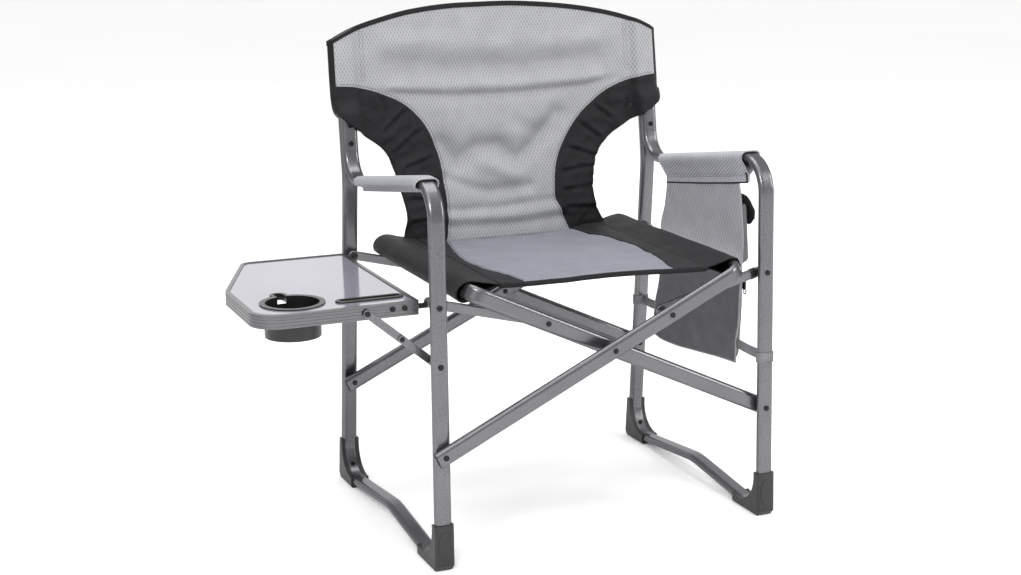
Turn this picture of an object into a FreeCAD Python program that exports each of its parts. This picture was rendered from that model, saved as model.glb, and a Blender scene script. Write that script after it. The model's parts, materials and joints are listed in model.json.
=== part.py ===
import FreeCAD, Part
import math
import os

# Folding camp chair with a side table and a hanging organiser, millimetres, +Z up.
# Everything is first placed about the middle of the seat: the chair faces -Y, the floor is z = 0,
# the side table is on -X and the organiser on +X. FRAME_SHIFT then moves it all, so that the
# origin is the middle of the footprint of the whole object.

Vector = FreeCAD.Vector
os.makedirs("parts", exist_ok=True)

FRAME_SHIFT = Vector(124.7, -1.15, 0.0)

# Flat-oval tube of the frame
TUBE_WIDE = 28.0
TUBE_THIN = 14.0
TUBE_WALL = 1.4

# Driving dimensions of the folding frame
HALF_WIDTH = 294.5
REST_ANGLE = math.radians(25.2)
FOLDED_ANGLE = math.radians(75.0)
LOWER_PIN_Z = 191.0
LINK_PIVOT_Z = 426.5
BAR_LOWER_ARM = HALF_WIDTH / math.cos(REST_ANGLE)
BAR_UPPER_ARM = 260.0
BAR_LENGTH = BAR_LOWER_ARM + BAR_UPPER_ARM
BAR_END_PAST_PIN = 13.0
BAR_BEND_RADIUS = 24.0
CROSSING_Z = LOWER_PIN_Z + HALF_WIDTH * math.tan(REST_ANGLE)

# The links join the posts to the crossbars at this distance above the crossing, which keeps
# the posts upright both when the chair is open and when it is folded.
PIVOT_RISE = LINK_PIVOT_Z - LOWER_PIN_Z
SINE_SUM = math.sin(REST_ANGLE) + math.sin(FOLDED_ANGLE)
LINK_PIN_ARM = PIVOT_RISE * BAR_LOWER_ARM / (2.0 * BAR_LOWER_ARM * SINE_SUM - PIVOT_RISE)
LINK_PIN_X = LINK_PIN_ARM * math.cos(REST_ANGLE)
LINK_PIN_Z = CROSSING_Z + LINK_PIN_ARM * math.sin(REST_ANGLE)
RAIL_X = BAR_UPPER_ARM * math.cos(REST_ANGLE)
RAIL_Z = CROSSING_Z + BAR_UPPER_ARM * math.sin(REST_ANGLE)

# Depth of the crossbars' centre planes. The rear bar of the second crossbar runs slantwise,
# from behind the right post to the inside of the left post.
ONE_FRONT_Y = -250.0
ONE_REAR_Y = 208.5
TWO_FRONT_Y = -216.0
TWO_REAR_TOP_Y = 208.0
TWO_REAR_PIN_Y = 252.0

# Side frame centreline: slopes of its straight stretches and radii of its bends
FRONT_POST_Y = -233.9
FRONT_POST_SLOPE = 0.0189
REAR_POST_Y = 233.9
REAR_POST_SLOPE = -0.0866
POST_DATUM_Z = 200.0
BACK_KINK_Z = 560.0
BACK_SLOPE = 0.13
BACK_TOP_Z = 804.0
BACK_KINK_RADIUS = 200.0
FLOOR_BEND_RADIUS = 55.0
RUNNER_KINK_Z = 30.0
RUNNER_KINK_RADIUS = 150.0
FRONT_CORNER_Z = 3.5
REAR_CORNER_Z = 5.0
ARM_LEVEL_Z = 589.2
ARM_SLOPE = -0.156
ARM_FRONT_RADIUS = 56.0
ARM_REAR_RADIUS = 50.0
ARM_END_Z = 672.0
ARM_END_GAP = 0.1
ARM_RIVET_HEIGHTS = (624.0, 655.0)

# Links between the posts and the crossbars
LINK_WIDE = 16.0
LINK_THICK = 8.0
LINK_ROUNDING = 2.5
LINK_FRONT_LEFT_Y = -203.5
LINK_FRONT_RIGHT_Y = -214.0
LINK_REAR_Y = 196.3

# Pins, rivets, bushes and screws
PIN_RADIUS = 3.0
HOLE_RADIUS = 3.05
HEAD_RADIUS = 4.6
HEAD_HEIGHT = 2.2
HEAD_ROUNDING = 1.6
BUSH_RADIUS = 7.0
SIDE_GAP = 0.3
POST_HEAD_GAP = 0.5
BEND_HEAD_GAP = 0.3
SCREW_RADIUS = 2.0
SCREW_HOLE_RADIUS = 2.05

# Corner boots
BOOT_SKIN = 2.4
BOOT_CLEARANCE = 0.15
BOOT_TOP_Z = 76.0
BOOT_ROUNDING = 4.5
BOOT_PAD = (46.0, 23.0, 0.9)
FRONT_BOOT_TIP_Y = -160.0
REAR_BOOT_TIP_Y = 186.0

# Side table
TABLE_TOP_Z = 431.0
TABLE_THICK = 22.5
TABLE_FRONT_Y = -190.0
TABLE_REAR_Y = 200.0
TABLE_INNER_X = -311.0
TABLE_OUTER_X = -572.0
TABLE_CLIP_X = -494.0
TABLE_CLIP_Y = 0.0
TABLE_INNER_RADIUS = 3.0
TABLE_FRONT_RADIUS = 44.0
TABLE_CLIP_RADIUS = 22.0
RIM_WIDE = 12.0
RIM_LIP = 6.5
RIM_WALL = 2.0
RIM_FLANGE = 1.5
PANEL_THICK = 3.0
PANEL_GAP = 0.1
GROOVE_HEIGHTS = (412.4, 417.4, 422.4, 427.0)
GROOVE_HIGH = 1.4
GROOVE_DEEP = 0.7

# Cup holder and slot in the table
CUP_X = -494.5
CUP_Y = -117.0
CUP_FLANGE_RADIUS = 51.5
CUP_RADIUS = 44.5
CUP_WALL = 2.0
CUP_DEPTH = 53.0
CUP_FLANGE_THICK = 2.0
NOTCH_WIDE = 15.0
NOTCH_REACH = 66.0
NOTCH_ANGLE = 97.0
SLOT_X = -376.5
SLOT_Y = -142.0
SLOT_LONG = 103.0
SLOT_WIDE = 16.0
SLOT_TRIM = 9.0

# Hinge arms of the table
HINGE_ARM_THICK = 4.0
HINGE_ARM_HIGH = 8.0
HINGE_ARM_Z = 421.3
HINGE_ARM_END_X = -366.0
HINGE_ARM_FRONT_Y = -185.9
HINGE_ARM_REAR_Y = 189.4
HINGE_EYE_RADIUS = 7.0
HINGE_BOLTS_X = (-355.0, -335.0)

# Folding braces under the table
BRACE_WIDE = 13.0
BRACE_THICK = 2.6
BRACE_ROUNDING = 0.8
BRACE_POST_Z = 332.5
BRACE_TABLE_X = -397.5
BRACE_TABLE_Z = 419.0
BRACE_UPPER_SHARE = 0.53
UPPER_BRACE_Y = (-194.0, 203.9)
LOWER_BRACE_Y = (-196.9, 206.8)
KNUCKLE_HEAD = (4.2, 1.0)

# Fabric
CLOTH = 2.0
SLEEVE_GAP = 0.8
ARM_SLEEVE_Y = (-158.0, 126.0)
SEAT_REAR_Y = 184.0
SEAT_LEFT_FRONT_Y = -191.0
SEAT_RIGHT_FRONT_Y = -225.0
SEAT_SAG = 12.0
SEAT_THICK = 3.0
BACK_THICK = 3.0
BACK_SLEEVE_Z = 692.0
BACK_SLEEVE_WIDE = 43.0
BACK_SLEEVE_X = 296.5
BACK_CORNER = (320.5, 803.0)
BACK_CREST_Z = 861.0
BACK_HALF_OUTLINE = ((276.0, 830.0), (276.0, 694.0), (246.0, 627.0), (206.0, 599.0),
                     (190.0, 552.0), (184.0, 512.0), (189.0, 474.0), (203.0, 440.0))
POUCH_X = 294.5
POUCH_THICK = 2.5
POUCH_OUTLINE = ((-152.0, 598.0), (126.0, 554.0), (146.0, 468.0), (152.0, 290.0),
                 (140.0, 240.0), (95.0, 228.0), (-138.0, 246.0), (-146.0, 430.0))
POCKET_WALL = 1.6
POCKET_ROUNDING = 4.0
UPPER_POCKET_Y = (-150.0, 128.0)
UPPER_POCKET_PROFILE = ((0.0, 438.0), (18.0, 444.0), (22.0, 452.0), (13.0, 524.0), (0.0, 524.0))
LOWER_POCKET_Y = (-138.0, 136.0)
LOWER_POCKET_PROFILE = ((0.0, 254.0), (8.0, 262.0), (13.0, 320.0), (15.0, 378.0), (15.0, 398.0), (0.0, 406.0))
FLAP_PROFILE = ((0.0, 544.0), (14.0, 533.0), (22.0, 500.0))
FLAP_THICK = 4.0
ARM_FLAP_THICK = 1.5
LEFT_ARM_FLAP = (12.0, 10.0)
RIGHT_ARM_FLAP = (33.0, 40.0)
RIGHT_ARM_OUTER_FLAP = (10.0, 9.0)
STRAP_Z = (271.0, 289.0)
STRAP_THICK = 1.6
ZIP_Z = 394.0


def front_post_y(z):
    return FRONT_POST_Y + FRONT_POST_SLOPE * (z - POST_DATUM_Z)


def rear_post_y(z):
    lower = REAR_POST_Y + REAR_POST_SLOPE * (min(z, BACK_KINK_Z) - POST_DATUM_Z)
    return lower + BACK_SLOPE * max(z - BACK_KINK_Z, 0.0)


def arm_z(y):
    return ARM_LEVEL_Z + ARM_SLOPE * y


def save(name, shape):
    """Write one node, moved into the frame of the whole object."""
    moved = shape.copy()
    moved.translate(FRAME_SHIFT)
    moved.exportStep("parts/" + name + ".step")
    print(f"{name}: solids {len(moved.Solids)}, volume {moved.Volume / 1000.0:.1f} cm3, valid {moved.isValid()}")


def mirrored(shape):
    """The same piece on the other side of the seat."""
    return shape.mirror(Vector(0, 0, 0), Vector(1, 0, 0))


# ---------------------------------------------------------------- tubes

def rounded_path(corners, radii):
    """Straight runs joined by tangent arcs, one radius for each inner corner."""
    edges = []
    start = corners[0]
    for before, corner, after, radius in zip(corners, corners[1:], corners[2:], radii):
        incoming = (corner - before).normalize()
        outgoing = (after - corner).normalize()
        half_turn = incoming.getAngle(outgoing) / 2.0
        reach = radius * math.tan(half_turn)
        arc_start = corner - incoming * reach
        arc_end = corner + outgoing * reach
        inward = (outgoing - incoming).normalize()
        arc_middle = corner + inward * (radius / math.cos(half_turn) - radius)
        edges.append(Part.makeLine(start, arc_start))
        edges.append(Part.Arc(arc_start, arc_middle, arc_end).toShape())
        start = arc_end
    edges.append(Part.makeLine(start, corners[-1]))
    return Part.Wire(edges)


def oval_wire(centre, wide_axis, thin_axis, wide, thin):
    """A flat oval: two straight sides and two half-round ends."""
    radius = thin / 2.0
    reach = wide_axis * ((wide - thin) / 2.0)
    rise = thin_axis * radius
    right_top = centre + reach + rise
    right_low = centre + reach - rise
    left_low = centre - reach - rise
    left_top = centre - reach + rise
    right_end = Part.Arc(right_top, centre + reach + wide_axis * radius, right_low)
    left_end = Part.Arc(left_low, centre - reach - wide_axis * radius, left_top)
    sides = (Part.makeLine(right_low, left_low), Part.makeLine(left_top, right_top))
    return Part.Wire([right_end.toShape(), sides[0], left_end.toShape(), sides[1]])


def swept_oval(corners, radii, wide_axis, wide, thin):
    path = rounded_path(corners, radii)
    direction = (corners[1] - corners[0]).normalize()
    thin_axis = wide_axis.cross(direction).normalize()
    sweep = Part.BRepOffsetAPI.MakePipeShell(path)
    sweep.setBiNormalMode(wide_axis)
    sweep.add(oval_wire(corners[0], wide_axis, thin_axis, wide, thin))
    sweep.build()
    sweep.makeSolid()
    return sweep.shape()


def oval_tube(corners, radii, wide_axis):
    outer = swept_oval(corners, radii, wide_axis, TUBE_WIDE, TUBE_THIN)
    bore_wide = TUBE_WIDE - 2.0 * TUBE_WALL
    bore_thin = TUBE_THIN - 2.0 * TUBE_WALL
    return outer.cut(swept_oval(corners, radii, wide_axis, bore_wide, bore_thin))


def line_crossing(point_one, slope_one, slope_two_y, point_two):
    """Where z = z1 + s1 (y - y1) meets y = y2 + s2 (z - z2), as (y, z)."""
    y_one, z_one = point_one
    y_two, z_two = point_two
    y = (y_two + slope_two_y * (z_one - slope_one * y_one - z_two)) / (1.0 - slope_two_y * slope_one)
    return y, z_one + slope_one * (y - y_one)


def side_frame_corners(x):
    """Corners of the side frame, from the top of the backrest round to the end of the armrest."""
    arm_offset = (TUBE_THIN + ARM_END_GAP) * math.sqrt(1.0 + BACK_SLOPE ** 2)
    arm_end_y = rear_post_y(ARM_END_Z) - arm_offset
    front_top = line_crossing((0.0, ARM_LEVEL_Z), ARM_SLOPE, FRONT_POST_SLOPE, (FRONT_POST_Y, POST_DATUM_Z))
    rear_low = line_crossing((0.0, ARM_LEVEL_Z), ARM_SLOPE, BACK_SLOPE, (arm_end_y, ARM_END_Z))
    outline = (
        (rear_post_y(BACK_TOP_Z), BACK_TOP_Z),
        (rear_post_y(BACK_KINK_Z), BACK_KINK_Z),
        (rear_post_y(REAR_CORNER_Z), REAR_CORNER_Z),
        (0.0, RUNNER_KINK_Z),
        (front_post_y(FRONT_CORNER_Z), FRONT_CORNER_Z),
        front_top,
        rear_low,
        (arm_end_y, ARM_END_Z),
    )
    return [Vector(x, y, z) for y, z in outline]


SIDE_FRAME_RADII = (BACK_KINK_RADIUS, FLOOR_BEND_RADIUS, RUNNER_KINK_RADIUS,
                    FLOOR_BEND_RADIUS, ARM_FRONT_RADIUS, ARM_REAR_RADIUS)


def corner_direction(corners, index):
    """Unit vector from the inside of a bend towards its sharp corner."""
    incoming = (corners[index] - corners[index - 1]).normalize()
    outgoing = (corners[index + 1] - corners[index]).normalize()
    return (incoming - outgoing).normalize()


def bend_middle(corners, index, radius):
    """Point of the centreline in the middle of a bend."""
    incoming = (corners[index] - corners[index - 1]).normalize()
    outgoing = (corners[index + 1] - corners[index]).normalize()
    half_turn = incoming.getAngle(outgoing) / 2.0
    return corners[index] - corner_direction(corners, index) * (radius / math.cos(half_turn) - radius)


# ---------------------------------------------------------------- pins, rivets and bushes

def rod(x, z, y_from, y_to, radius):
    return Part.makeCylinder(radius, y_to - y_from, Vector(x, y_from, z), Vector(0, 1, 0))


def domed_head(base, outward, radius=HEAD_RADIUS, height=HEAD_HEIGHT):
    head = Part.makeCylinder(radius, height, base, outward)
    rim = max(head.Edges, key=lambda edge: edge.CenterOfMass.sub(base).dot(outward))
    return head.makeFillet(min(HEAD_ROUNDING, 0.75 * height), [rim])


def pin(x, z, y_from, y_to, front_head=True, rear_head=True):
    """A pin along Y between two outer faces, with domed heads beyond them."""
    shape = rod(x, z, y_from, y_to, PIN_RADIUS)
    if front_head:
        shape = shape.fuse(domed_head(Vector(x, y_from, z), Vector(0, -1, 0)))
    if rear_head:
        shape = shape.fuse(domed_head(Vector(x, y_to, z), Vector(0, 1, 0)))
    return shape


def bush(x, z, y_from, y_to):
    ring = rod(x, z, y_from, y_to, BUSH_RADIUS)
    return ring.cut(rod(x, z, y_from - 1.0, y_to + 1.0, HOLE_RADIUS))


def drilled(shape, places, radius=HOLE_RADIUS):
    """Bore holes along Y; each place is (x, z, y_from, y_to)."""
    for x, z, y_from, y_to in places:
        shape = shape.cut(rod(x, z, y_from, y_to, radius))
    return shape


def group(shapes):
    return Part.makeCompound(shapes)


# ---------------------------------------------------------------- side frames and boots

def arm_rivet_axis(height):
    """Point on the arm end's centreline and the direction square to its front face."""
    normal = Vector(0.0, 1.0, -BACK_SLOPE).normalize()
    point = Vector(-HALF_WIDTH, rear_post_y(height), height) - normal * (TUBE_THIN / 2.0)
    return point, normal


def arm_rivet(height):
    point, normal = arm_rivet_axis(height)
    start = point - normal * (TUBE_THIN + 2.0 * ARM_END_GAP)
    end = point + normal * (TUBE_THIN + ARM_END_GAP)
    shank = Part.makeCylinder(PIN_RADIUS, (end - start).Length, start, normal)
    return shank.fuse(domed_head(start, normal * -1.0)).fuse(domed_head(end, normal))


def arm_rivet_hole(height):
    point, normal = arm_rivet_axis(height)
    return Part.makeCylinder(HOLE_RADIUS, 60.0, point - normal * 30.0, normal)


def boot_screw(corners, index):
    """Screw from the inside of a floor bend into the boot."""
    towards = corner_direction(corners, index)
    seat = bend_middle(corners, index, FLOOR_BEND_RADIUS) - towards * (TUBE_THIN / 2.0 + BEND_HEAD_GAP)
    shank = Part.makeCylinder(SCREW_RADIUS, TUBE_THIN + 7.0, seat, towards)
    return shank.fuse(domed_head(seat, towards * -1.0, HEAD_RADIUS - 0.4, HEAD_HEIGHT))


def boot_screw_hole(corners, index):
    towards = corner_direction(corners, index)
    seat = bend_middle(corners, index, FLOOR_BEND_RADIUS) - towards * (TUBE_THIN / 2.0)
    return Part.makeCylinder(SCREW_HOLE_RADIUS, TUBE_THIN + 8.5, seat - towards, towards)


def boot(corners, index, tip_y, post_y):
    """Plastic corner boot: a wedge outside the floor bend with a lip up each side of the tube."""
    facing = 1.0 if post_y(0.0) > 0.0 else -1.0
    half_thin = TUBE_THIN / 2.0
    outer_top = post_y(BOOT_TOP_Z) + facing * (half_thin + BOOT_SKIN)
    outer_low = post_y(0.0) + facing * (half_thin + BOOT_SKIN)
    runner_slope = (corners[3].z - corners[index].z) / (corners[3].y - corners[index].y)
    tip_z = corners[index].z + runner_slope * (tip_y - corners[index].y) + half_thin
    inner_top = post_y(BOOT_TOP_Z) - facing * half_thin
    middle = bend_middle(corners, index, FLOOR_BEND_RADIUS) - corner_direction(corners, index) * half_thin
    x = corners[0].x - TUBE_WIDE / 2.0 - BOOT_SKIN
    toe = 8.0
    outer = [Vector(x, outer_top, BOOT_TOP_Z), Vector(x, outer_low, toe),
             Vector(x, outer_low - facing * toe, 0.0), Vector(x, tip_y, 0.0), Vector(x, tip_y, tip_z)]
    edges = [Part.makeLine(first, second) for first, second in zip(outer, outer[1:])]
    inner_end = Vector(x, inner_top, BOOT_TOP_Z)
    edges.append(Part.Arc(outer[-1], Vector(x, middle.y, middle.z), inner_end).toShape())
    edges.append(Part.makeLine(inner_end, outer[0]))
    profile = Part.Face(Part.Wire(edges))
    block = profile.extrude(Vector(TUBE_WIDE + 2.0 * BOOT_SKIN, 0, 0))
    outside = [edge for edge in block.Edges if edge_is_outside(edge, x, outer_low)]
    block = block.makeFillet(BOOT_ROUNDING, outside)
    block = block.fuse(boot_pad(corners[0].x, outer_top, outer_low, toe, facing))
    channel = swept_oval(corners, SIDE_FRAME_RADII, Vector(1, 0, 0),
                         TUBE_WIDE + 2.0 * BOOT_CLEARANCE, TUBE_THIN + 2.0 * BOOT_CLEARANCE)
    return largest(block.cut(channel).cut(boot_screw_hole(corners, index)))


def boot_pad(x, outer_top, outer_low, low_z, facing):
    """Raised oval on the outer face of a boot."""
    long, wide, rise = BOOT_PAD
    top = Vector(x, outer_top, BOOT_TOP_Z)
    low = Vector(x, outer_low, low_z)
    up = (top - low).normalize()
    outward = Vector(1, 0, 0).cross(up) * -facing
    middle = (top + low) * 0.5 - outward * 0.5
    outline = Part.Ellipse(middle + up * (long / 2.0), middle + Vector(wide / 2.0, 0, 0), middle)
    pad = Part.Face(Part.Wire(outline.toShape())).extrude(outward * (rise + 0.5))
    rim = [edge for edge in pad.Edges if (edge.CenterOfMass - middle).dot(outward) > rise]
    return pad.makeFillet(rise * 0.7, rim)


def edge_is_outside(edge, x, outer_low):
    """True for the side edges of a boot's outer face, its toe and its underside."""
    centre = edge.CenterOfMass
    side = min(abs(centre.x - x), abs(centre.x - x - TUBE_WIDE - 2.0 * BOOT_SKIN)) < 0.1
    outer_face = abs(centre.y - outer_low) < 6.0
    return side and (outer_face or centre.z < 0.1)


def largest(shape):
    return max(shape.Solids, key=lambda solid: solid.Volume)


def post_holes(corners):
    """Holes along Y through the front and rear posts for the pivots of the folding frame."""
    x = corners[0].x
    heights = [LOWER_PIN_Z, LINK_PIVOT_Z]
    if x < 0.0:
        heights.append(BRACE_POST_Z)
    front = [(x, z, front_post_y(z) - 12.0, front_post_y(z) + 12.0) for z in heights]
    rear = [(x, z, rear_post_y(z) - 12.0, rear_post_y(z) + 12.0) for z in heights]
    return front + rear


def side_frame(side):
    corners = side_frame_corners(side * HALF_WIDTH)
    frame = oval_tube(corners, SIDE_FRAME_RADII, Vector(1, 0, 0))
    frame = drilled(frame, post_holes(corners))
    for height in ARM_RIVET_HEIGHTS:
        hole = arm_rivet_hole(height)
        frame = frame.cut(hole if side < 0 else mirrored(hole))
    for index in (2, 4):
        frame = frame.cut(boot_screw_hole(corners, index))
    return frame


def post_plug(corners):
    """Plastic plug in the open top of a backrest post."""
    up = (corners[0] - corners[1]).normalize()
    wide_axis = Vector(1, 0, 0)
    thin_axis = wide_axis.cross(up)
    cap = Part.Face(oval_wire(corners[0], wide_axis, thin_axis, TUBE_WIDE, TUBE_THIN)).extrude(up * 3.0)
    bore_wide = TUBE_WIDE - 2.0 * TUBE_WALL - 0.1
    bore_thin = TUBE_THIN - 2.0 * TUBE_WALL - 0.1
    stem = Part.Face(oval_wire(corners[0], wide_axis, thin_axis, bore_wide, bore_thin)).extrude(up * -14.0)
    return cap.fuse(stem)


def build_side(side, word):
    corners = side_frame_corners(side * HALF_WIDTH)
    save(word + "_side_frame", side_frame(side))
    save(word + "_front_boot", boot(corners, 4, FRONT_BOOT_TIP_Y, front_post_y))
    save(word + "_rear_boot", boot(corners, 2, REAR_BOOT_TIP_Y, rear_post_y))
    save(word + "_boot_screws", group([boot_screw(corners, index) for index in (2, 4)]))
    rivets = group([arm_rivet(height) for height in ARM_RIVET_HEIGHTS])
    save(word + "_arm_rivets", rivets if side < 0 else mirrored(rivets))
    save(word + "_post_plug", post_plug(corners))


# ---------------------------------------------------------------- crossbars

def crossbar(pin_x, front_y, rear_top_y, rear_pin_y):
    """U-shaped tube: front bar, seat rail and rear bar. It rises from pin_x to the other side."""
    side = math.copysign(1.0, pin_x)
    along = Vector(-side * math.cos(REST_ANGLE), 0.0, math.sin(REST_ANGLE))
    wide_axis = Vector(side * math.sin(REST_ANGLE), 0.0, math.cos(REST_ANGLE))
    pin_point = Vector(pin_x, 0.0, LOWER_PIN_Z)
    low = pin_point - along * BAR_END_PAST_PIN
    high = pin_point + along * BAR_LENGTH
    past = (rear_pin_y - rear_top_y) / BAR_LENGTH * BAR_END_PAST_PIN
    corners = [low + Vector(0, front_y, 0), high + Vector(0, front_y, 0),
               high + Vector(0, rear_top_y, 0), low + Vector(0, rear_pin_y + past, 0)]
    return oval_tube(corners, (BAR_BEND_RADIUS, BAR_BEND_RADIUS), wide_axis)


def two_rear_y(distance):
    """Depth of the slanting rear bar at a distance up from its lower pin."""
    return TWO_REAR_PIN_Y + (TWO_REAR_TOP_Y - TWO_REAR_PIN_Y) * distance / BAR_LENGTH


HALF_BAR = TUBE_THIN / 2.0
TWO_REAR_CROSSING_Y = two_rear_y(BAR_LOWER_ARM)
TWO_REAR_LINK_Y = two_rear_y(BAR_LOWER_ARM + LINK_PIN_ARM)


def crossbar_one():
    places = [(-HALF_WIDTH, LOWER_PIN_Z), (0.0, CROSSING_Z), (LINK_PIN_X, LINK_PIN_Z)]
    holes = [(x, z, y - 9.0, y + 9.0) for x, z in places for y in (ONE_FRONT_Y, ONE_REAR_Y)]
    return drilled(crossbar(-HALF_WIDTH, ONE_FRONT_Y, ONE_REAR_Y, ONE_REAR_Y), holes)


def crossbar_two():
    places = [(HALF_WIDTH, LOWER_PIN_Z, TWO_REAR_PIN_Y), (0.0, CROSSING_Z, TWO_REAR_CROSSING_Y),
              (-LINK_PIN_X, LINK_PIN_Z, TWO_REAR_LINK_Y)]
    holes = [(x, z, TWO_FRONT_Y - 9.0, TWO_FRONT_Y + 9.0) for x, z, _ in places]
    holes += [(x, z, y - 11.0, y + 11.0) for x, z, y in places]
    return drilled(crossbar(HALF_WIDTH, TWO_FRONT_Y, TWO_REAR_TOP_Y, TWO_REAR_PIN_Y), holes)


def lower_pins(side):
    """Pins through the posts and the lower ends of the bar pinned on that side."""
    x = side * HALF_WIDTH
    front_y = front_post_y(LOWER_PIN_Z)
    rear_y = rear_post_y(LOWER_PIN_Z)
    if side < 0:
        front = pin(x, LOWER_PIN_Z, ONE_FRONT_Y - HALF_BAR - SIDE_GAP, front_y + HALF_BAR + POST_HEAD_GAP)
        rear = pin(x, LOWER_PIN_Z, ONE_REAR_Y - HALF_BAR - SIDE_GAP, rear_y + HALF_BAR + POST_HEAD_GAP)
    else:
        front = pin(x, LOWER_PIN_Z, front_y - HALF_BAR - POST_HEAD_GAP, TWO_FRONT_Y + HALF_BAR + SIDE_GAP)
        rear = pin(x, LOWER_PIN_Z, rear_y - HALF_BAR - POST_HEAD_GAP, TWO_REAR_PIN_Y + HALF_BAR + 2.0 * SIDE_GAP)
    return group([front, rear])


def crossing_pins():
    front = pin(0.0, CROSSING_Z, ONE_FRONT_Y - HALF_BAR, TWO_FRONT_Y + HALF_BAR + SIDE_GAP)
    rear = pin(0.0, CROSSING_Z, ONE_REAR_Y - HALF_BAR, TWO_REAR_CROSSING_Y + HALF_BAR + 2.5)
    return group([front, rear])


def crossing_bushes():
    front = bush(0.0, CROSSING_Z, ONE_FRONT_Y + HALF_BAR, TWO_FRONT_Y - HALF_BAR - SIDE_GAP)
    rear = bush(0.0, CROSSING_Z, ONE_REAR_Y + HALF_BAR, TWO_REAR_CROSSING_Y - HALF_BAR - 1.0)
    return group([front, rear])


def bar_stub_rivets(x, front_y, rear_y, rear_tail):
    """Rivets of the crossbar where the links end; their tails stay inside the bar's depth."""
    front = pin(x, LINK_PIN_Z, front_y - HALF_BAR, front_y + HALF_BAR, rear_head=False)
    rear = pin(x, LINK_PIN_Z, rear_y - HALF_BAR + rear_tail, rear_y + HALF_BAR + rear_tail, front_head=False)
    return group([front, rear])


def build_crossbars():
    save("crossbar_one", crossbar_one())
    save("crossbar_two", crossbar_two())
    save("left_crossbar_pins", lower_pins(-1.0))
    save("right_crossbar_pins", lower_pins(1.0))
    save("crossing_pins", crossing_pins())
    save("crossing_bushes", crossing_bushes())
    save("crossbar_one_rivets", bar_stub_rivets(LINK_PIN_X, ONE_FRONT_Y, ONE_REAR_Y, 0.0))
    save("crossbar_two_rivets", bar_stub_rivets(-LINK_PIN_X, TWO_FRONT_Y, TWO_REAR_LINK_Y, 0.6))


# ---------------------------------------------------------------- flat bars: links, braces, hinge arms

def flat_bar(start, end, y_centre, wide, thick, rounding):
    """Bar with round ends between two (x, z) eyes, its thickness along Y."""
    (x_one, z_one), (x_two, z_two) = start, end
    along = Vector(x_two - x_one, 0.0, z_two - z_one)
    middle = Vector((x_one + x_two) / 2.0, y_centre - thick / 2.0, (z_one + z_two) / 2.0)
    wide_axis = Vector(along).normalize()
    thin_axis = wide_axis.cross(Vector(0, 1, 0))
    outline = oval_wire(middle, wide_axis, thin_axis, along.Length + wide, wide)
    bar = Part.Face(outline).extrude(Vector(0, thick, 0))
    rims = [edge for edge in bar.Edges if abs(edge.BoundBox.YLength) < 1e-6]
    bar = bar.makeFillet(rounding, rims)
    eyes = [(x, z, y_centre - thick, y_centre + thick) for x, z in (start, end)]
    return drilled(bar, eyes)


LINK_HALF = LINK_THICK / 2.0


def link(side, y_centre):
    post_eye = (side * HALF_WIDTH, LINK_PIVOT_Z)
    bar_eye = (side * LINK_PIN_X, LINK_PIN_Z)
    return flat_bar(post_eye, bar_eye, y_centre, LINK_WIDE, LINK_THICK, LINK_ROUNDING)


def link_end_bushes(side):
    """Stud and bush at each link's crossbar end, standing off to the face of the bar."""
    x = side * LINK_PIN_X
    front_link = LINK_FRONT_LEFT_Y if side < 0 else LINK_FRONT_RIGHT_Y
    front_bar = TWO_FRONT_Y if side < 0 else ONE_FRONT_Y
    rear_bar = TWO_REAR_LINK_Y - 3.2 if side < 0 else ONE_REAR_Y
    front_end = front_bar + HALF_BAR + 0.5
    rear_end = rear_bar - HALF_BAR - 0.5
    front = rod(x, LINK_PIN_Z, front_end, front_link - LINK_HALF, BUSH_RADIUS)
    front = front.fuse(rod(x, LINK_PIN_Z, front_link - LINK_HALF, front_link + LINK_HALF, PIN_RADIUS))
    front = front.fuse(domed_head(Vector(x, front_link + LINK_HALF, LINK_PIN_Z), Vector(0, 1, 0)))
    rear = rod(x, LINK_PIN_Z, LINK_REAR_Y + LINK_HALF, rear_end, BUSH_RADIUS)
    rear = rear.fuse(rod(x, LINK_PIN_Z, LINK_REAR_Y - LINK_HALF, LINK_REAR_Y + LINK_HALF, PIN_RADIUS))
    rear = rear.fuse(domed_head(Vector(x, LINK_REAR_Y - LINK_HALF, LINK_PIN_Z), Vector(0, -1, 0)))
    return group([front, rear])


def link_pivot_pins(side):
    """Pins through the posts that carry the links, and on the left the table's hinge arms."""
    x = side * HALF_WIDTH
    front_face = front_post_y(LINK_PIVOT_Z) - HALF_BAR - POST_HEAD_GAP
    rear_face = rear_post_y(LINK_PIVOT_Z) + HALF_BAR + POST_HEAD_GAP
    if side < 0:
        front_end = HINGE_ARM_FRONT_Y + HINGE_ARM_THICK / 2.0 + SIDE_GAP
        rear_end = HINGE_ARM_REAR_Y - HINGE_ARM_THICK / 2.0 - SIDE_GAP
    else:
        front_end = LINK_FRONT_RIGHT_Y + LINK_HALF + SIDE_GAP
        rear_end = LINK_REAR_Y - LINK_HALF - SIDE_GAP
    front = pin(x, LINK_PIVOT_Z, front_face, front_end)
    rear = pin(x, LINK_PIVOT_Z, rear_end, rear_face)
    return group([front, rear])


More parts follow.
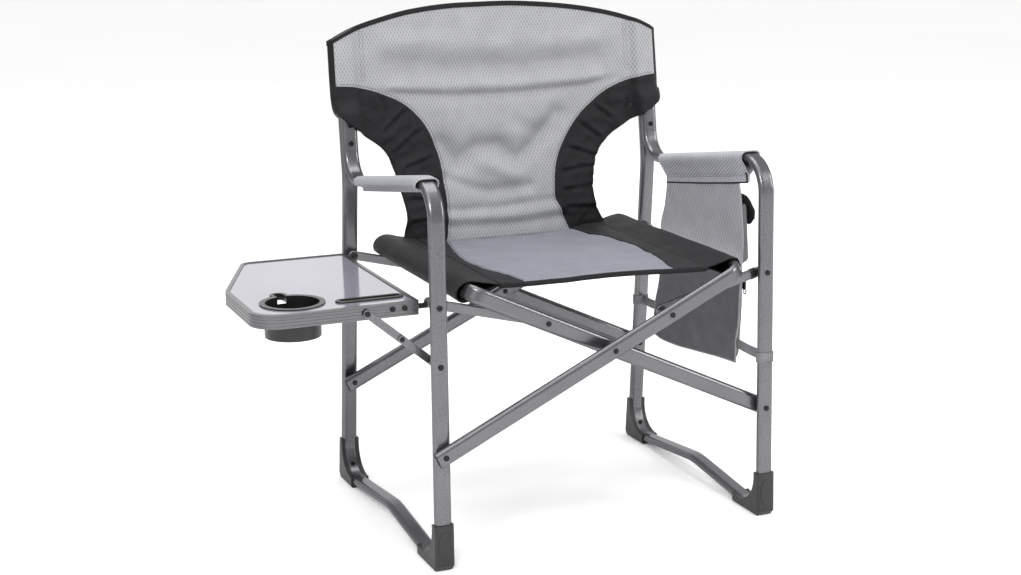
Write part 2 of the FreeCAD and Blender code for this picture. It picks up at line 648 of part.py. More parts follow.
def post_bushes(side):
    """Bushes that hold the links, the crossbar and the braces clear of the posts."""
    x = side * HALF_WIDTH
    front_link = LINK_FRONT_LEFT_Y if side < 0 else LINK_FRONT_RIGHT_Y
    link_front = bush(x, LINK_PIVOT_Z, front_post_y(LINK_PIVOT_Z) + HALF_BAR + 0.2,
                      front_link - LINK_HALF - SIDE_GAP)
    link_rear = bush(x, LINK_PIVOT_Z, LINK_REAR_Y + LINK_HALF + SIDE_GAP,
                     rear_post_y(LINK_PIVOT_Z) - HALF_BAR - 0.8)
    bushes = [link_front, link_rear]
    if side < 0:
        bushes.append(bush(x, LOWER_PIN_Z, ONE_REAR_Y + HALF_BAR + SIDE_GAP,
                           rear_post_y(LOWER_PIN_Z) - HALF_BAR - 0.8))
        bushes.append(bush(x, LINK_PIVOT_Z, LINK_FRONT_LEFT_Y + LINK_HALF + SIDE_GAP,
                           HINGE_ARM_FRONT_Y - HINGE_ARM_THICK / 2.0 - SIDE_GAP))
        bushes.append(bush(x, BRACE_POST_Z, front_post_y(BRACE_POST_Z) + HALF_BAR + 0.2,
                           LOWER_BRACE_Y[0] - BRACE_THICK / 2.0 - SIDE_GAP))
        bushes.append(bush(x, BRACE_POST_Z, LOWER_BRACE_Y[1] + BRACE_THICK / 2.0 + SIDE_GAP,
                           rear_post_y(BRACE_POST_Z) - HALF_BAR - 0.8))
    return group(bushes)


def build_links():
    save("front_left_link", link(-1.0, LINK_FRONT_LEFT_Y))
    save("rear_left_link", link(-1.0, LINK_REAR_Y))
    save("front_right_link", link(1.0, LINK_FRONT_RIGHT_Y))
    save("rear_right_link", link(1.0, LINK_REAR_Y))
    save("left_link_studs", link_end_bushes(-1.0))
    save("right_link_studs", link_end_bushes(1.0))
    save("left_link_pins", link_pivot_pins(-1.0))
    save("right_link_pins", link_pivot_pins(1.0))
    save("left_post_bushes", post_bushes(-1.0))
    save("right_post_bushes", post_bushes(1.0))


# ---------------------------------------------------------------- side table

def table_face(inset, z):
    """Outline of the table, drawn in by inset, as a flat face."""
    corners = [Vector(x, y, z) for x, y in (
        (TABLE_INNER_X - inset, 0.0),
        (TABLE_INNER_X - inset, TABLE_FRONT_Y + inset),
        (TABLE_OUTER_X + inset, TABLE_FRONT_Y + inset),
        (TABLE_OUTER_X + inset, TABLE_CLIP_Y - clip_shift(inset)[1]),
        (TABLE_CLIP_X + clip_shift(inset)[0], TABLE_REAR_Y - inset),
        (TABLE_INNER_X - inset, TABLE_REAR_Y - inset),
        (TABLE_INNER_X - inset, 0.0))]
    inner_radius = max(TABLE_INNER_RADIUS - inset, 0.5)
    radii = (inner_radius, TABLE_FRONT_RADIUS - inset, TABLE_CLIP_RADIUS - inset,
             TABLE_CLIP_RADIUS - inset, inner_radius)
    return Part.Face(rounded_path(corners, radii))


def clip_shift(inset):
    """How far the two ends of the slanting rear edge move along X and Y when it is drawn in."""
    run = TABLE_CLIP_X - TABLE_OUTER_X
    rise = TABLE_REAR_Y - TABLE_CLIP_Y
    length = math.hypot(run, rise)
    return inset * (length - run) / rise, inset * (length - rise) / run


def table_prism(inset, z_from, z_to):
    return table_face(inset, z_from).extrude(Vector(0, 0, z_to - z_from))


TABLE_LOW_Z = TABLE_TOP_Z - TABLE_THICK
PANEL_TOP_Z = TABLE_TOP_Z - RIM_FLANGE - PANEL_GAP
PANEL_LOW_Z = PANEL_TOP_Z - PANEL_THICK


def table_bolt_places():
    """(x, z) of the bolts through the front and rear walls of the rim."""
    return [(x, HINGE_ARM_Z) for x in HINGE_BOLTS_X] + [(BRACE_TABLE_X, BRACE_TABLE_Z)]


def table_frame():
    """Extruded rim: grooved wall with an upper lip, a panel seat and a lower lip."""
    rim = table_prism(0.0, TABLE_LOW_Z, TABLE_TOP_Z)
    rim = rim.cut(table_prism(RIM_LIP, TABLE_LOW_Z - 1.0, TABLE_TOP_Z + 1.0))
    rim = rim.cut(table_prism(RIM_WALL, TABLE_LOW_Z + RIM_FLANGE, TABLE_TOP_Z - RIM_FLANGE))
    for height in GROOVE_HEIGHTS:
        band = table_prism(-1.0, height, height + GROOVE_HIGH)
        rim = rim.cut(band.cut(table_prism(GROOVE_DEEP, height, height + GROOVE_HIGH)))
    for y_centre in (HINGE_ARM_FRONT_Y, HINGE_ARM_REAR_Y):
        rim = rim.cut(hinge_arm_blank(y_centre, 0.2))
    holes = [(x, z, y - 4.0, y + 4.0) for x, z in table_bolt_places() for y in (TABLE_FRONT_Y, TABLE_REAR_Y)]
    return drilled(rim, holes)


def obround_prism(x, y, long, wide, z_from, z_to):
    outline = oval_wire(Vector(x, y, z_from), Vector(1, 0, 0), Vector(0, 1, 0), long, wide)
    return Part.Face(outline).extrude(Vector(0, 0, z_to - z_from))


def upright(radius, z_from, z_to):
    return Part.makeCylinder(radius, z_to - z_from, Vector(CUP_X, CUP_Y, z_from))


def glass_notch(widening, z_from, z_to):
    """Slot for a glass stem, from the cup towards the back of the table."""
    wide = NOTCH_WIDE + 2.0 * widening
    reach = NOTCH_REACH + widening
    start = Vector(CUP_X, CUP_Y - wide / 2.0, z_from)
    box = Part.makeBox(reach - wide / 2.0, wide, z_to - z_from, start)
    tip = Part.makeCylinder(wide / 2.0, z_to - z_from, Vector(CUP_X + reach - wide / 2.0, CUP_Y, z_from))
    slot = box.fuse(tip)
    slot.rotate(Vector(CUP_X, CUP_Y, 0), Vector(0, 0, 1), NOTCH_ANGLE)
    return slot


def table_panel():
    panel = table_prism(RIM_WALL + PANEL_GAP, PANEL_LOW_Z, PANEL_TOP_Z)
    panel = panel.cut(upright(CUP_RADIUS + 0.2, PANEL_LOW_Z - 1.0, TABLE_TOP_Z))
    panel = panel.cut(glass_notch(CUP_WALL + 0.2, PANEL_LOW_Z - 1.0, TABLE_TOP_Z))
    return panel.cut(obround_prism(SLOT_X, SLOT_Y, SLOT_LONG, SLOT_WIDE, PANEL_LOW_Z - 1.0, TABLE_TOP_Z))


def cup_holder():
    """Flanged cup with a stem notch at the back of its rim."""
    low = TABLE_TOP_Z - CUP_DEPTH
    flange_top = PANEL_TOP_Z + CUP_FLANGE_THICK
    body = upright(CUP_RADIUS, low, flange_top)
    body = body.fuse(upright(CUP_FLANGE_RADIUS, PANEL_TOP_Z, flange_top))
    body = body.fuse(glass_notch(CUP_WALL, PANEL_LOW_Z - 6.0, flange_top))
    body = body.fuse(glass_notch(CUP_WALL + 3.5, PANEL_TOP_Z, flange_top))
    body = body.cut(upright(CUP_RADIUS - CUP_WALL, low + CUP_WALL, flange_top + 1.0))
    return body.cut(glass_notch(0.0, PANEL_LOW_Z - 7.0, flange_top + 1.0))


def slot_trim():
    """Plastic rim of the slot: a rounded flange above the panel and a sleeve through it."""
    flange = obround_prism(SLOT_X, SLOT_Y, SLOT_LONG + SLOT_TRIM, SLOT_WIDE + SLOT_TRIM,
                           PANEL_TOP_Z, PANEL_TOP_Z + 2.6)
    flange = flange.makeFillet(1.4, [edge for edge in flange.Edges if edge.CenterOfMass.z > PANEL_TOP_Z + 2.5])
    sleeve = obround_prism(SLOT_X, SLOT_Y, SLOT_LONG - 0.2, SLOT_WIDE - 0.2, PANEL_LOW_Z - 4.0, PANEL_TOP_Z + 1.0)
    bore = obround_prism(SLOT_X, SLOT_Y, SLOT_LONG - 3.4, SLOT_WIDE - 3.4, PANEL_LOW_Z - 9.0, TABLE_TOP_Z + 4.0)
    return flange.fuse(sleeve).cut(bore)


def hinge_arm_blank(y_centre, extra):
    """Hinge arm: a flat bar inside the rim with a pivot eye at the post."""
    thick = HINGE_ARM_THICK + 2.0 * extra
    high = HINGE_ARM_HIGH + 2.0 * extra
    corner = Vector(HINGE_ARM_END_X - extra, y_centre - thick / 2.0, HINGE_ARM_Z - high / 2.0)
    bar = Part.makeBox(-HALF_WIDTH - HINGE_ARM_END_X + extra, thick, high, corner)
    eye = rod(-HALF_WIDTH, LINK_PIVOT_Z, y_centre - thick / 2.0, y_centre + thick / 2.0, HINGE_EYE_RADIUS)
    return bar.fuse(eye)


def hinge_arm(y_centre):
    places = [(-HALF_WIDTH, LINK_PIVOT_Z)] + [(x, HINGE_ARM_Z) for x in HINGE_BOLTS_X]
    return drilled(hinge_arm_blank(y_centre, 0.0), [(x, z, y_centre - 9.0, y_centre + 9.0) for x, z in places])


def hinge_bolts():
    front_end = HINGE_ARM_FRONT_Y + HINGE_ARM_THICK / 2.0
    rear_end = HINGE_ARM_REAR_Y - HINGE_ARM_THICK / 2.0
    bolts = [pin(x, HINGE_ARM_Z, TABLE_FRONT_Y, front_end) for x in HINGE_BOLTS_X]
    return group(bolts + [pin(x, HINGE_ARM_Z, rear_end, TABLE_REAR_Y) for x in HINGE_BOLTS_X])


def brace_bolts():
    """Bolts that carry the upper braces, with a stand-off collar outside the rim."""
    half = BRACE_THICK / 2.0
    front = pin(BRACE_TABLE_X, BRACE_TABLE_Z, UPPER_BRACE_Y[0] - half - 0.1, TABLE_FRONT_Y + RIM_WALL)
    rear = pin(BRACE_TABLE_X, BRACE_TABLE_Z, TABLE_REAR_Y - RIM_WALL, UPPER_BRACE_Y[1] + half + 0.1)
    return group([front, rear])


def build_table():
    save("table_frame", table_frame())
    save("table_panel", table_panel())
    save("cup_holder", cup_holder())
    save("slot_trim", slot_trim())
    save("front_hinge_arm", hinge_arm(HINGE_ARM_FRONT_Y))
    save("rear_hinge_arm", hinge_arm(HINGE_ARM_REAR_Y))
    save("hinge_bolts", hinge_bolts())
    save("brace_bolts", brace_bolts())


# ---------------------------------------------------------------- braces

BRACE_MIDDLE = (BRACE_TABLE_X + (-HALF_WIDTH - BRACE_TABLE_X) * BRACE_UPPER_SHARE,
                BRACE_TABLE_Z + (BRACE_POST_Z - BRACE_TABLE_Z) * BRACE_UPPER_SHARE)


def build_braces():
    table_eye = (BRACE_TABLE_X, BRACE_TABLE_Z)
    post_eye = (-HALF_WIDTH, BRACE_POST_Z)
    half = BRACE_THICK / 2.0
    x, z = BRACE_MIDDLE
    for word, upper_y, lower_y in zip(("front", "rear"), UPPER_BRACE_Y, LOWER_BRACE_Y):
        save(word + "_upper_brace", flat_bar(table_eye, BRACE_MIDDLE, upper_y, BRACE_WIDE, BRACE_THICK, BRACE_ROUNDING))
        save(word + "_lower_brace", flat_bar(BRACE_MIDDLE, post_eye, lower_y, BRACE_WIDE, BRACE_THICK, BRACE_ROUNDING))
    front_face = front_post_y(BRACE_POST_Z) - HALF_BAR - POST_HEAD_GAP
    rear_face = rear_post_y(BRACE_POST_Z) + HALF_BAR + POST_HEAD_GAP
    front_post_pin = pin(-HALF_WIDTH, BRACE_POST_Z, front_face, LOWER_BRACE_Y[0] + half - 0.1, rear_head=False)
    rear_post_pin = pin(-HALF_WIDTH, BRACE_POST_Z, LOWER_BRACE_Y[1] - half + 0.1, rear_face, front_head=False)
    save("brace_post_pins", group([front_post_pin, rear_post_pin]))
    front_knuckle = rod(x, z, LOWER_BRACE_Y[0] - half, LOWER_BRACE_Y[0] + half - 0.2, PIN_RADIUS)
    front_knuckle = front_knuckle.fuse(domed_head(Vector(x, LOWER_BRACE_Y[0] - half, z), Vector(0, -1, 0), *KNUCKLE_HEAD))
    rear_knuckle = rod(x, z, LOWER_BRACE_Y[1] - half + 0.2, LOWER_BRACE_Y[1] + half, PIN_RADIUS)
    rear_knuckle = rear_knuckle.fuse(domed_head(Vector(x, LOWER_BRACE_Y[1] + half, z), Vector(0, 1, 0), *KNUCKLE_HEAD))
    save("brace_knuckle_pins", group([front_knuckle, rear_knuckle]))


# ---------------------------------------------------------------- fabric

def ring_sleeve(start, end, wide_axis, inner_wide, inner_thin, cloth=CLOTH):
    """Cloth sleeve with an oval section round a straight stretch of tube."""
    along = end - start
    thin_axis = wide_axis.cross(Vector(along).normalize())
    outer = oval_wire(start, wide_axis, thin_axis, inner_wide + 2.0 * cloth, inner_thin + 2.0 * cloth)
    inner = oval_wire(start, wide_axis, thin_axis, inner_wide, inner_thin)
    return Part.Face(outer).extrude(along).cut(Part.Face(inner).extrude(along))


def arm_flap(x, depths, thick):
    """Hem hanging under an arm sleeve: a strip from the sleeve down by its front and rear depths."""
    front_y, rear_y = ARM_SLEEVE_Y
    top = 9.0
    points = [Vector(x, front_y, arm_z(front_y) - top), Vector(x, rear_y, arm_z(rear_y) - top),
              Vector(x, rear_y, arm_z(rear_y) - top - depths[1]), Vector(x, front_y, arm_z(front_y) - top - depths[0])]
    return Part.Face(Part.makePolygon(points + points[:1])).extrude(Vector(thick, 0, 0))


def arm_sleeve(side):
    """Armrest cloth; the right one has a double hem that holds the organiser."""
    x = side * HALF_WIDTH
    start = Vector(x, ARM_SLEEVE_Y[0], arm_z(ARM_SLEEVE_Y[0]))
    end = Vector(x, ARM_SLEEVE_Y[1], arm_z(ARM_SLEEVE_Y[1]))
    sleeve = ring_sleeve(start, end, Vector(1, 0, 0), TUBE_WIDE + 2.0 * SLEEVE_GAP, TUBE_THIN + 2.0 * SLEEVE_GAP + 1.0)
    if side < 0:
        return sleeve.fuse(arm_flap(x - ARM_FLAP_THICK, LEFT_ARM_FLAP, 2.0 * ARM_FLAP_THICK))
    spread = POUCH_THICK / 2.0 + 0.1
    inner_hem = arm_flap(x - spread - ARM_FLAP_THICK, RIGHT_ARM_FLAP, ARM_FLAP_THICK)
    outer_hem = arm_flap(x + spread, RIGHT_ARM_OUTER_FLAP, ARM_FLAP_THICK)
    return sleeve.fuse(inner_hem).fuse(outer_hem)


def seat():
    """Seat cloth: a sleeve on each rail and a slightly hanging panel between them."""
    pieces = []
    for side, front_y in ((-1.0, SEAT_LEFT_FRONT_Y), (1.0, SEAT_RIGHT_FRONT_Y)):
        wide_axis = Vector(-side * math.sin(REST_ANGLE), 0.0, math.cos(REST_ANGLE))
        start = Vector(side * RAIL_X, front_y, RAIL_Z)
        end = Vector(side * RAIL_X, SEAT_REAR_Y, RAIL_Z)
        pieces.append(ring_sleeve(start, end, wide_axis, TUBE_WIDE + 2.0 * SLEEVE_GAP, TUBE_THIN + 2.0 * SLEEVE_GAP))
    edge_x = RAIL_X - 5.5
    edge_z = RAIL_Z + 10.5
    section = Part.Wire([
        Part.Arc(Vector(-edge_x, 0, edge_z), Vector(0, 0, edge_z - SEAT_SAG), Vector(edge_x, 0, edge_z)).toShape(),
        Part.makeLine(Vector(edge_x, 0, edge_z), Vector(edge_x, 0, edge_z + SEAT_THICK)),
        Part.Arc(Vector(edge_x, 0, edge_z + SEAT_THICK), Vector(0, 0, edge_z + SEAT_THICK - SEAT_SAG),
                 Vector(-edge_x, 0, edge_z + SEAT_THICK)).toShape(),
        Part.makeLine(Vector(-edge_x, 0, edge_z + SEAT_THICK), Vector(-edge_x, 0, edge_z))])
    slab = Part.Face(section).extrude(Vector(0, SEAT_REAR_Y + 260.0, 0))
    slab.translate(Vector(0, -260.0, 0))
    plan = Part.makePolygon([Vector(-RAIL_X, SEAT_LEFT_FRONT_Y, 300), Vector(RAIL_X, SEAT_RIGHT_FRONT_Y, 300),
                             Vector(RAIL_X, SEAT_REAR_Y, 300), Vector(-RAIL_X, SEAT_REAR_Y, 300),
                             Vector(-RAIL_X, SEAT_LEFT_FRONT_Y, 300)])
    slab = slab.common(Part.Face(plan).extrude(Vector(0, 0, 300)))
    for side in (-1.0, 1.0):
        wide_axis = Vector(-side * math.sin(REST_ANGLE), 0.0, math.cos(REST_ANGLE))
        bore = oval_wire(Vector(side * RAIL_X, -300, RAIL_Z), wide_axis, wide_axis.cross(Vector(0, 1, 0)),
                         TUBE_WIDE + 2.0 * SLEEVE_GAP, TUBE_THIN + 2.0 * SLEEVE_GAP)
        slab = slab.cut(Part.Face(bore).extrude(Vector(0, 600, 0)))
    return pieces[0].fuse(pieces[1]).fuse(slab).removeSplitter()


def back_point(x, z):
    return Vector(x, rear_post_y(BACK_KINK_Z) + BACK_SLOPE * (z - BACK_KINK_Z), z)


def back_arch():
    """Everything under the arched top edge, as a deep block."""
    corner_x, corner_z = BACK_CORNER
    left = Vector(-corner_x, 0.0, corner_z)
    right = Vector(corner_x, 0.0, corner_z)
    crest = Part.Arc(left, Vector(0.0, 0.0, BACK_CREST_Z), right)
    low_left = Vector(-corner_x, 0.0, 300.0)
    low_right = Vector(corner_x, 0.0, 300.0)
    outline = Part.Wire([crest.toShape(), Part.makeLine(right, low_right),
                         Part.makeLine(low_right, low_left), Part.makeLine(low_left, left)])
    return Part.Face(outline).extrude(Vector(0.0, 500.0, 0.0))


def backrest():
    """Back cloth: a sleeve on each post and a waisted panel, all under one arched top edge."""
    half = [back_point(x, z) for x, z in BACK_HALF_OUTLINE]
    other = [Vector(-point.x, point.y, point.z) for point in half]
    curve = Part.BSplineCurve()
    curve.interpolate(half[1:])
    other_curve = Part.BSplineCurve()
    other_curve.interpolate(other[1:])
    crest = Part.Arc(other[0], back_point(0.0, BACK_CREST_Z + 30.0), half[0])
    outline = Part.Wire([crest.toShape(), Part.makeLine(half[0], half[1]), curve.toShape(),
                         Part.makeLine(half[-1], other[-1]), other_curve.toShape(),
                         Part.makeLine(other[1], other[0])])
    normal = Vector(0.0, 1.0, -BACK_SLOPE).normalize()
    pieces = Part.Face(outline).extrude(normal * BACK_THICK)
    pieces.translate(normal * (-BACK_THICK / 2.0))
    inner_thin = TUBE_THIN + 2.0 * SLEEVE_GAP
    for side in (-1.0, 1.0):
        start = back_point(side * BACK_SLEEVE_X, BACK_SLEEVE_Z)
        end = back_point(side * BACK_SLEEVE_X, BACK_CREST_Z)
        thin_axis = Vector(1, 0, 0).cross(Vector(end - start).normalize())
        core = oval_wire(start, Vector(1, 0, 0), thin_axis, BACK_SLEEVE_WIDE, inner_thin)
        pieces = pieces.fuse(ring_sleeve(start, end, Vector(1, 0, 0), BACK_SLEEVE_WIDE, inner_thin))
        pieces = pieces.cut(Part.Face(core).extrude(end - start))
    return pieces.common(back_arch())


def pouch_panel():
    points = [Vector(POUCH_X - POUCH_THICK / 2.0, y, z) for y, z in POUCH_OUTLINE]
    return Part.Face(Part.makePolygon(points + points[:1])).extrude(Vector(POUCH_THICK, 0, 0))


def pocket(profile, spans, mouth_z=None):
    """Hollow pocket on the organiser's outer face; mouth_z opens it at the top."""
    base_x = POUCH_X + POUCH_THICK / 2.0 + 0.2
    points = [Vector(base_x + depth, spans[0], z) for depth, z in profile]
    outline = Part.makePolygon(points + points[:1])
    length = Vector(0, spans[1] - spans[0], 0)
    shell = Part.Face(outline).extrude(length)
    ends = [edge for edge in shell.Edges
            if edge.BoundBox.YLength < 0.1 and edge.BoundBox.XMin > base_x + 5.0]
    shell = shell.makeFillet(POCKET_ROUNDING, ends)
    inside = Part.Face(outline.makeOffset2D(-POCKET_WALL)).extrude(length - Vector(0, 2.0 * POCKET_WALL, 0))
    inside.translate(Vector(0, POCKET_WALL, 0))
    if mouth_z:
        inside = inside.fuse(Part.makeBox(profile[-2][0] - 2.0 * POCKET_WALL, length.y - 2.0 * POCKET_WALL, 10.0,
                                          Vector(base_x + POCKET_WALL, spans[0] + POCKET_WALL, mouth_z - 5.0)))
    return shell.cut(inside)


def strap(post_y, z_middle, panel_y):
    """Strap from the organiser's edge to a closed loop round a post."""
    x = HALF_WIDTH
    start = Vector(x, post_y(STRAP_Z[0]), STRAP_Z[0])
    end = Vector(x, post_y(STRAP_Z[1]), STRAP_Z[1])
    loop = ring_sleeve(start, end, Vector(1, 0, 0), TUBE_WIDE + 0.8, TUBE_THIN + 0.8, STRAP_THICK)
    facing = 1.0 if panel_y > post_y(z_middle) else -1.0
    edge_y = post_y(z_middle) + facing * (TUBE_THIN / 2.0 + 1.2)
    low_y = min(edge_y, panel_y)
    tongue = Part.makeBox(STRAP_THICK, abs(panel_y - edge_y), STRAP_Z[1] - STRAP_Z[0] - 2.0,
                          Vector(x + 1.6, low_y, STRAP_Z[0] + 1.0))
    return loop.fuse(tongue)


def pocket_flap():
    """Padded flap that curves out and down over the mouth of the upper pocket."""
    base_x = POUCH_X + POUCH_THICK / 2.0 + 0.2
    curve = Part.Arc(*[Vector(base_x + depth, UPPER_POCKET_Y[0], z) for depth, z in FLAP_PROFILE]).toShape()
    outer = Part.Arc(*[Vector(base_x + depth + FLAP_THICK * outward, UPPER_POCKET_Y[0], z + FLAP_THICK * upward)
                       for (depth, z), outward, upward in zip(FLAP_PROFILE, (0.0, 0.75, 1.0), (1.0, 0.6, 0.0))])
    outer = outer.toShape()
    top = Part.makeLine(curve.Vertexes[0].Point, outer.Vertexes[0].Point)
    hem = Part.makeLine(outer.Vertexes[-1].Point, curve.Vertexes[-1].Point)
    section = Part.Face(Part.Wire([curve, hem, outer, top]))
    flap = section.extrude(Vector(0, UPPER_POCKET_Y[1] - UPPER_POCKET_Y[0], 0))
    corners = [edge for edge in flap.Edges if abs(edge.BoundBox.ZLength) < 0.01 and edge.BoundBox.YLength < 0.1
               and edge.BoundBox.XMax > base_x + 20.0]
    return flap.makeFillet(12.0, corners)


def zip_slider():
    """Zip slider with its pull, on the outer face of the lower pocket."""
    x = POUCH_X + POUCH_THICK / 2.0 + 0.2 + LOWER_POCKET_PROFILE[3][0] + 0.3
    y = LOWER_POCKET_Y[0] + 7.0
    body = Part.makeBox(4.0, 11.0, 8.0, Vector(x, y - 5.5, ZIP_Z - 5.0))
    body = body.makeFillet(1.2, body.Edges)
    tab = Part.makeBox(2.4, 8.0, 17.0, Vector(x + 1.2, y - 4.0, ZIP_Z - 20.0))
    tab = tab.makeFillet(0.8, tab.Edges)
    ring = Part.makeCylinder(5.6, 2.0, Vector(x + 1.4, y, ZIP_Z - 24.0), Vector(1, 0, 0))
    hole = Part.makeCylinder(3.4, 5.0, Vector(x, y, ZIP_Z - 24.6), Vector(1, 0, 0))
    return body.fuse(tab).fuse(ring).cut(hole)


def build_fabric():
    save("left_arm_sleeve", arm_sleeve(-1.0))
    save("right_arm_sleeve", arm_sleeve(1.0))
    save("seat", seat())
    save("backrest", backrest())
    save("pouch_panel", pouch_panel())
    save("upper_pocket", pocket(UPPER_POCKET_PROFILE, UPPER_POCKET_Y, UPPER_POCKET_PROFILE[-1][1]))
    save("lower_pocket", pocket(LOWER_POCKET_PROFILE, LOWER_POCKET_Y))
    save("pocket_flap", pocket_flap())
    strap_height = (STRAP_Z[0] + STRAP_Z[1]) / 2.0
    save("front_pouch_strap", strap(front_post_y, strap_height, LOWER_POCKET_Y[0] - 1.0))
    save("rear_pouch_strap", strap(rear_post_y, strap_height, LOWER_POCKET_Y[1] + 2.0))
    save("zip_slider", zip_slider())


build_side(-1.0, "left")
build_side(1.0, "right")
build_crossbars()
build_links()
build_table()
build_braces()
build_fabric()
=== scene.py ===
import bpy
import json
import math
from mathutils import Matrix, Vector, noise


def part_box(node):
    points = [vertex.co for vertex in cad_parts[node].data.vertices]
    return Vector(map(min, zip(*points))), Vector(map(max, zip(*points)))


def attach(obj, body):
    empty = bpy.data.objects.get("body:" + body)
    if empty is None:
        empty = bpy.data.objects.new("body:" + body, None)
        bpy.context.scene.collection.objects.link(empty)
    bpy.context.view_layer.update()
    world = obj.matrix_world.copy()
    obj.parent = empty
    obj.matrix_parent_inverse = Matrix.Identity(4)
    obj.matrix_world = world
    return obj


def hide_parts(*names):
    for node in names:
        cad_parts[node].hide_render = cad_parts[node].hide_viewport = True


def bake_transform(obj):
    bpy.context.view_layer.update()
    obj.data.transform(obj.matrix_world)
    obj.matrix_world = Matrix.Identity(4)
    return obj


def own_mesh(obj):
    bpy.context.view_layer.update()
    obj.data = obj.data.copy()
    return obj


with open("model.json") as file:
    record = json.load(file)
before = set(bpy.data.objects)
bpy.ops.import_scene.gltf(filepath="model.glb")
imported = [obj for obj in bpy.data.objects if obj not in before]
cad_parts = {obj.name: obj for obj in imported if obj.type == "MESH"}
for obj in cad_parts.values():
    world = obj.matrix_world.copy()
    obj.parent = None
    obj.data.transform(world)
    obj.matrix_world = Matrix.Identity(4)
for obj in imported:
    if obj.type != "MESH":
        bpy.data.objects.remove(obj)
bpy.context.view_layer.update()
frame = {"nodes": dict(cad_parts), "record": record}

# Lengths in this script are millimetres about the middle of the seat, the way the chair is drawn:
# it faces -Y, the side table is on -X and the organiser on +X. place() turns a point into metres
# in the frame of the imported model.
left_low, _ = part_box("left_side_frame")
_, right_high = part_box("right_side_frame")
MIDDLE_X = (left_low[0] + right_high[0]) / 2.0
MIDDLE_Y = -0.00115


def place(x, y, z):
    return Vector((MIDDLE_X + x / 1000.0, MIDDLE_Y + y / 1000.0, z / 1000.0))


# Middle of the posts and of the armrest tubes, to each side of the middle.
POST_X = 294.5
SIDES = (("left", -1.0), ("right", 1.0))
SIDEWAYS = Vector((1.0, 0.0, 0.0))
BACKWARD = Vector((0.0, 1.0, 0.0))
UP = Vector((0.0, 0.0, 1.0))


def side_word(side):
    return "left" if side < 0 else "right"


def smooth(value, low, high):
    t = min(max((value - low) / (high - low), 0.0), 1.0)
    return t * t * (3.0 - 2.0 * t)


def mix(a, b, t):
    return a + (b - a) * t


def along_curve(points, value):
    """Smooth curve through rows of numbers; the first number of each row is the position."""
    if value <= points[0][0]:
        return list(points[0][1:])
    if value >= points[-1][0]:
        return list(points[-1][1:])
    for i in range(len(points) - 1):
        if value <= points[i + 1][0]:
            break
    before = points[max(i - 1, 0)]
    start = points[i]
    end = points[i + 1]
    after = points[min(i + 2, len(points) - 1)]
    span = end[0] - start[0]
    t = (value - start[0]) / span
    result = []
    for k in range(1, len(start)):
        slope_in = (end[k] - before[k]) / max(end[0] - before[0], 1e-6) * span
        slope_out = (after[k] - start[k]) / max(after[0] - start[0], 1e-6) * span
        h = (2 * t ** 3 - 3 * t ** 2 + 1) * start[k] + (t ** 3 - 2 * t ** 2 + t) * slope_in
        h += (-2 * t ** 3 + 3 * t ** 2) * end[k] + (t ** 3 - t ** 2) * slope_out
        result.append(h)
    return result


def curve_through(points, count):
    """Points spaced evenly along a smooth curve through the given (x, y) points."""
    lengths = [0.0]
    for a, b in zip(points, points[1:]):
        lengths.append(lengths[-1] + math.hypot(b[0] - a[0], b[1] - a[1]))
    table = [(length, *point) for length, point in zip(lengths, points)]
    return [tuple(along_curve(table, lengths[-1] * i / (count - 1))) for i in range(count)]


# ---------------- materials

class Field:
    """A value in a node tree that can be combined with numbers and other values."""

    def __init__(self, tree, socket):
        self.tree = tree
        self.socket = socket

    def _math(self, operation, *values):
        node = self.tree.nodes.new("ShaderNodeMath")
        node.operation = operation
        for slot, value in zip(node.inputs, (self,) + values):
            if isinstance(value, Field):
                self.tree.links.new(value.socket, slot)
            else:
                slot.default_value = value
        return Field(self.tree, node.outputs[0])

    def __add__(self, other):
        return self._math("ADD", other)

    def __sub__(self, other):
        return self._math("SUBTRACT", other)

    def __mul__(self, other):
        return self._math("MULTIPLY", other)

    def sine(self):
        return self._math("SINE")

    def wave(self, pitch):
        """0 to 1 and back once in each pitch, in metres."""
        return ((self * (2.0 * math.pi / pitch)).sine() + 1.0) * 0.5

    def zigzag(self, pitch):
        return self._math("PINGPONG", pitch / 2.0)

    def rising(self, low, high):
        """0 below low, 1 above high, smooth between."""
        node = self.tree.nodes.new("ShaderNodeMapRange")
        node.interpolation_type = "SMOOTHSTEP"
        self.tree.links.new(self.socket, node.inputs["Value"])
        node.inputs["From Min"].default_value = low
        node.inputs["From Max"].default_value = high
        return Field(self.tree, node.outputs["Result"])


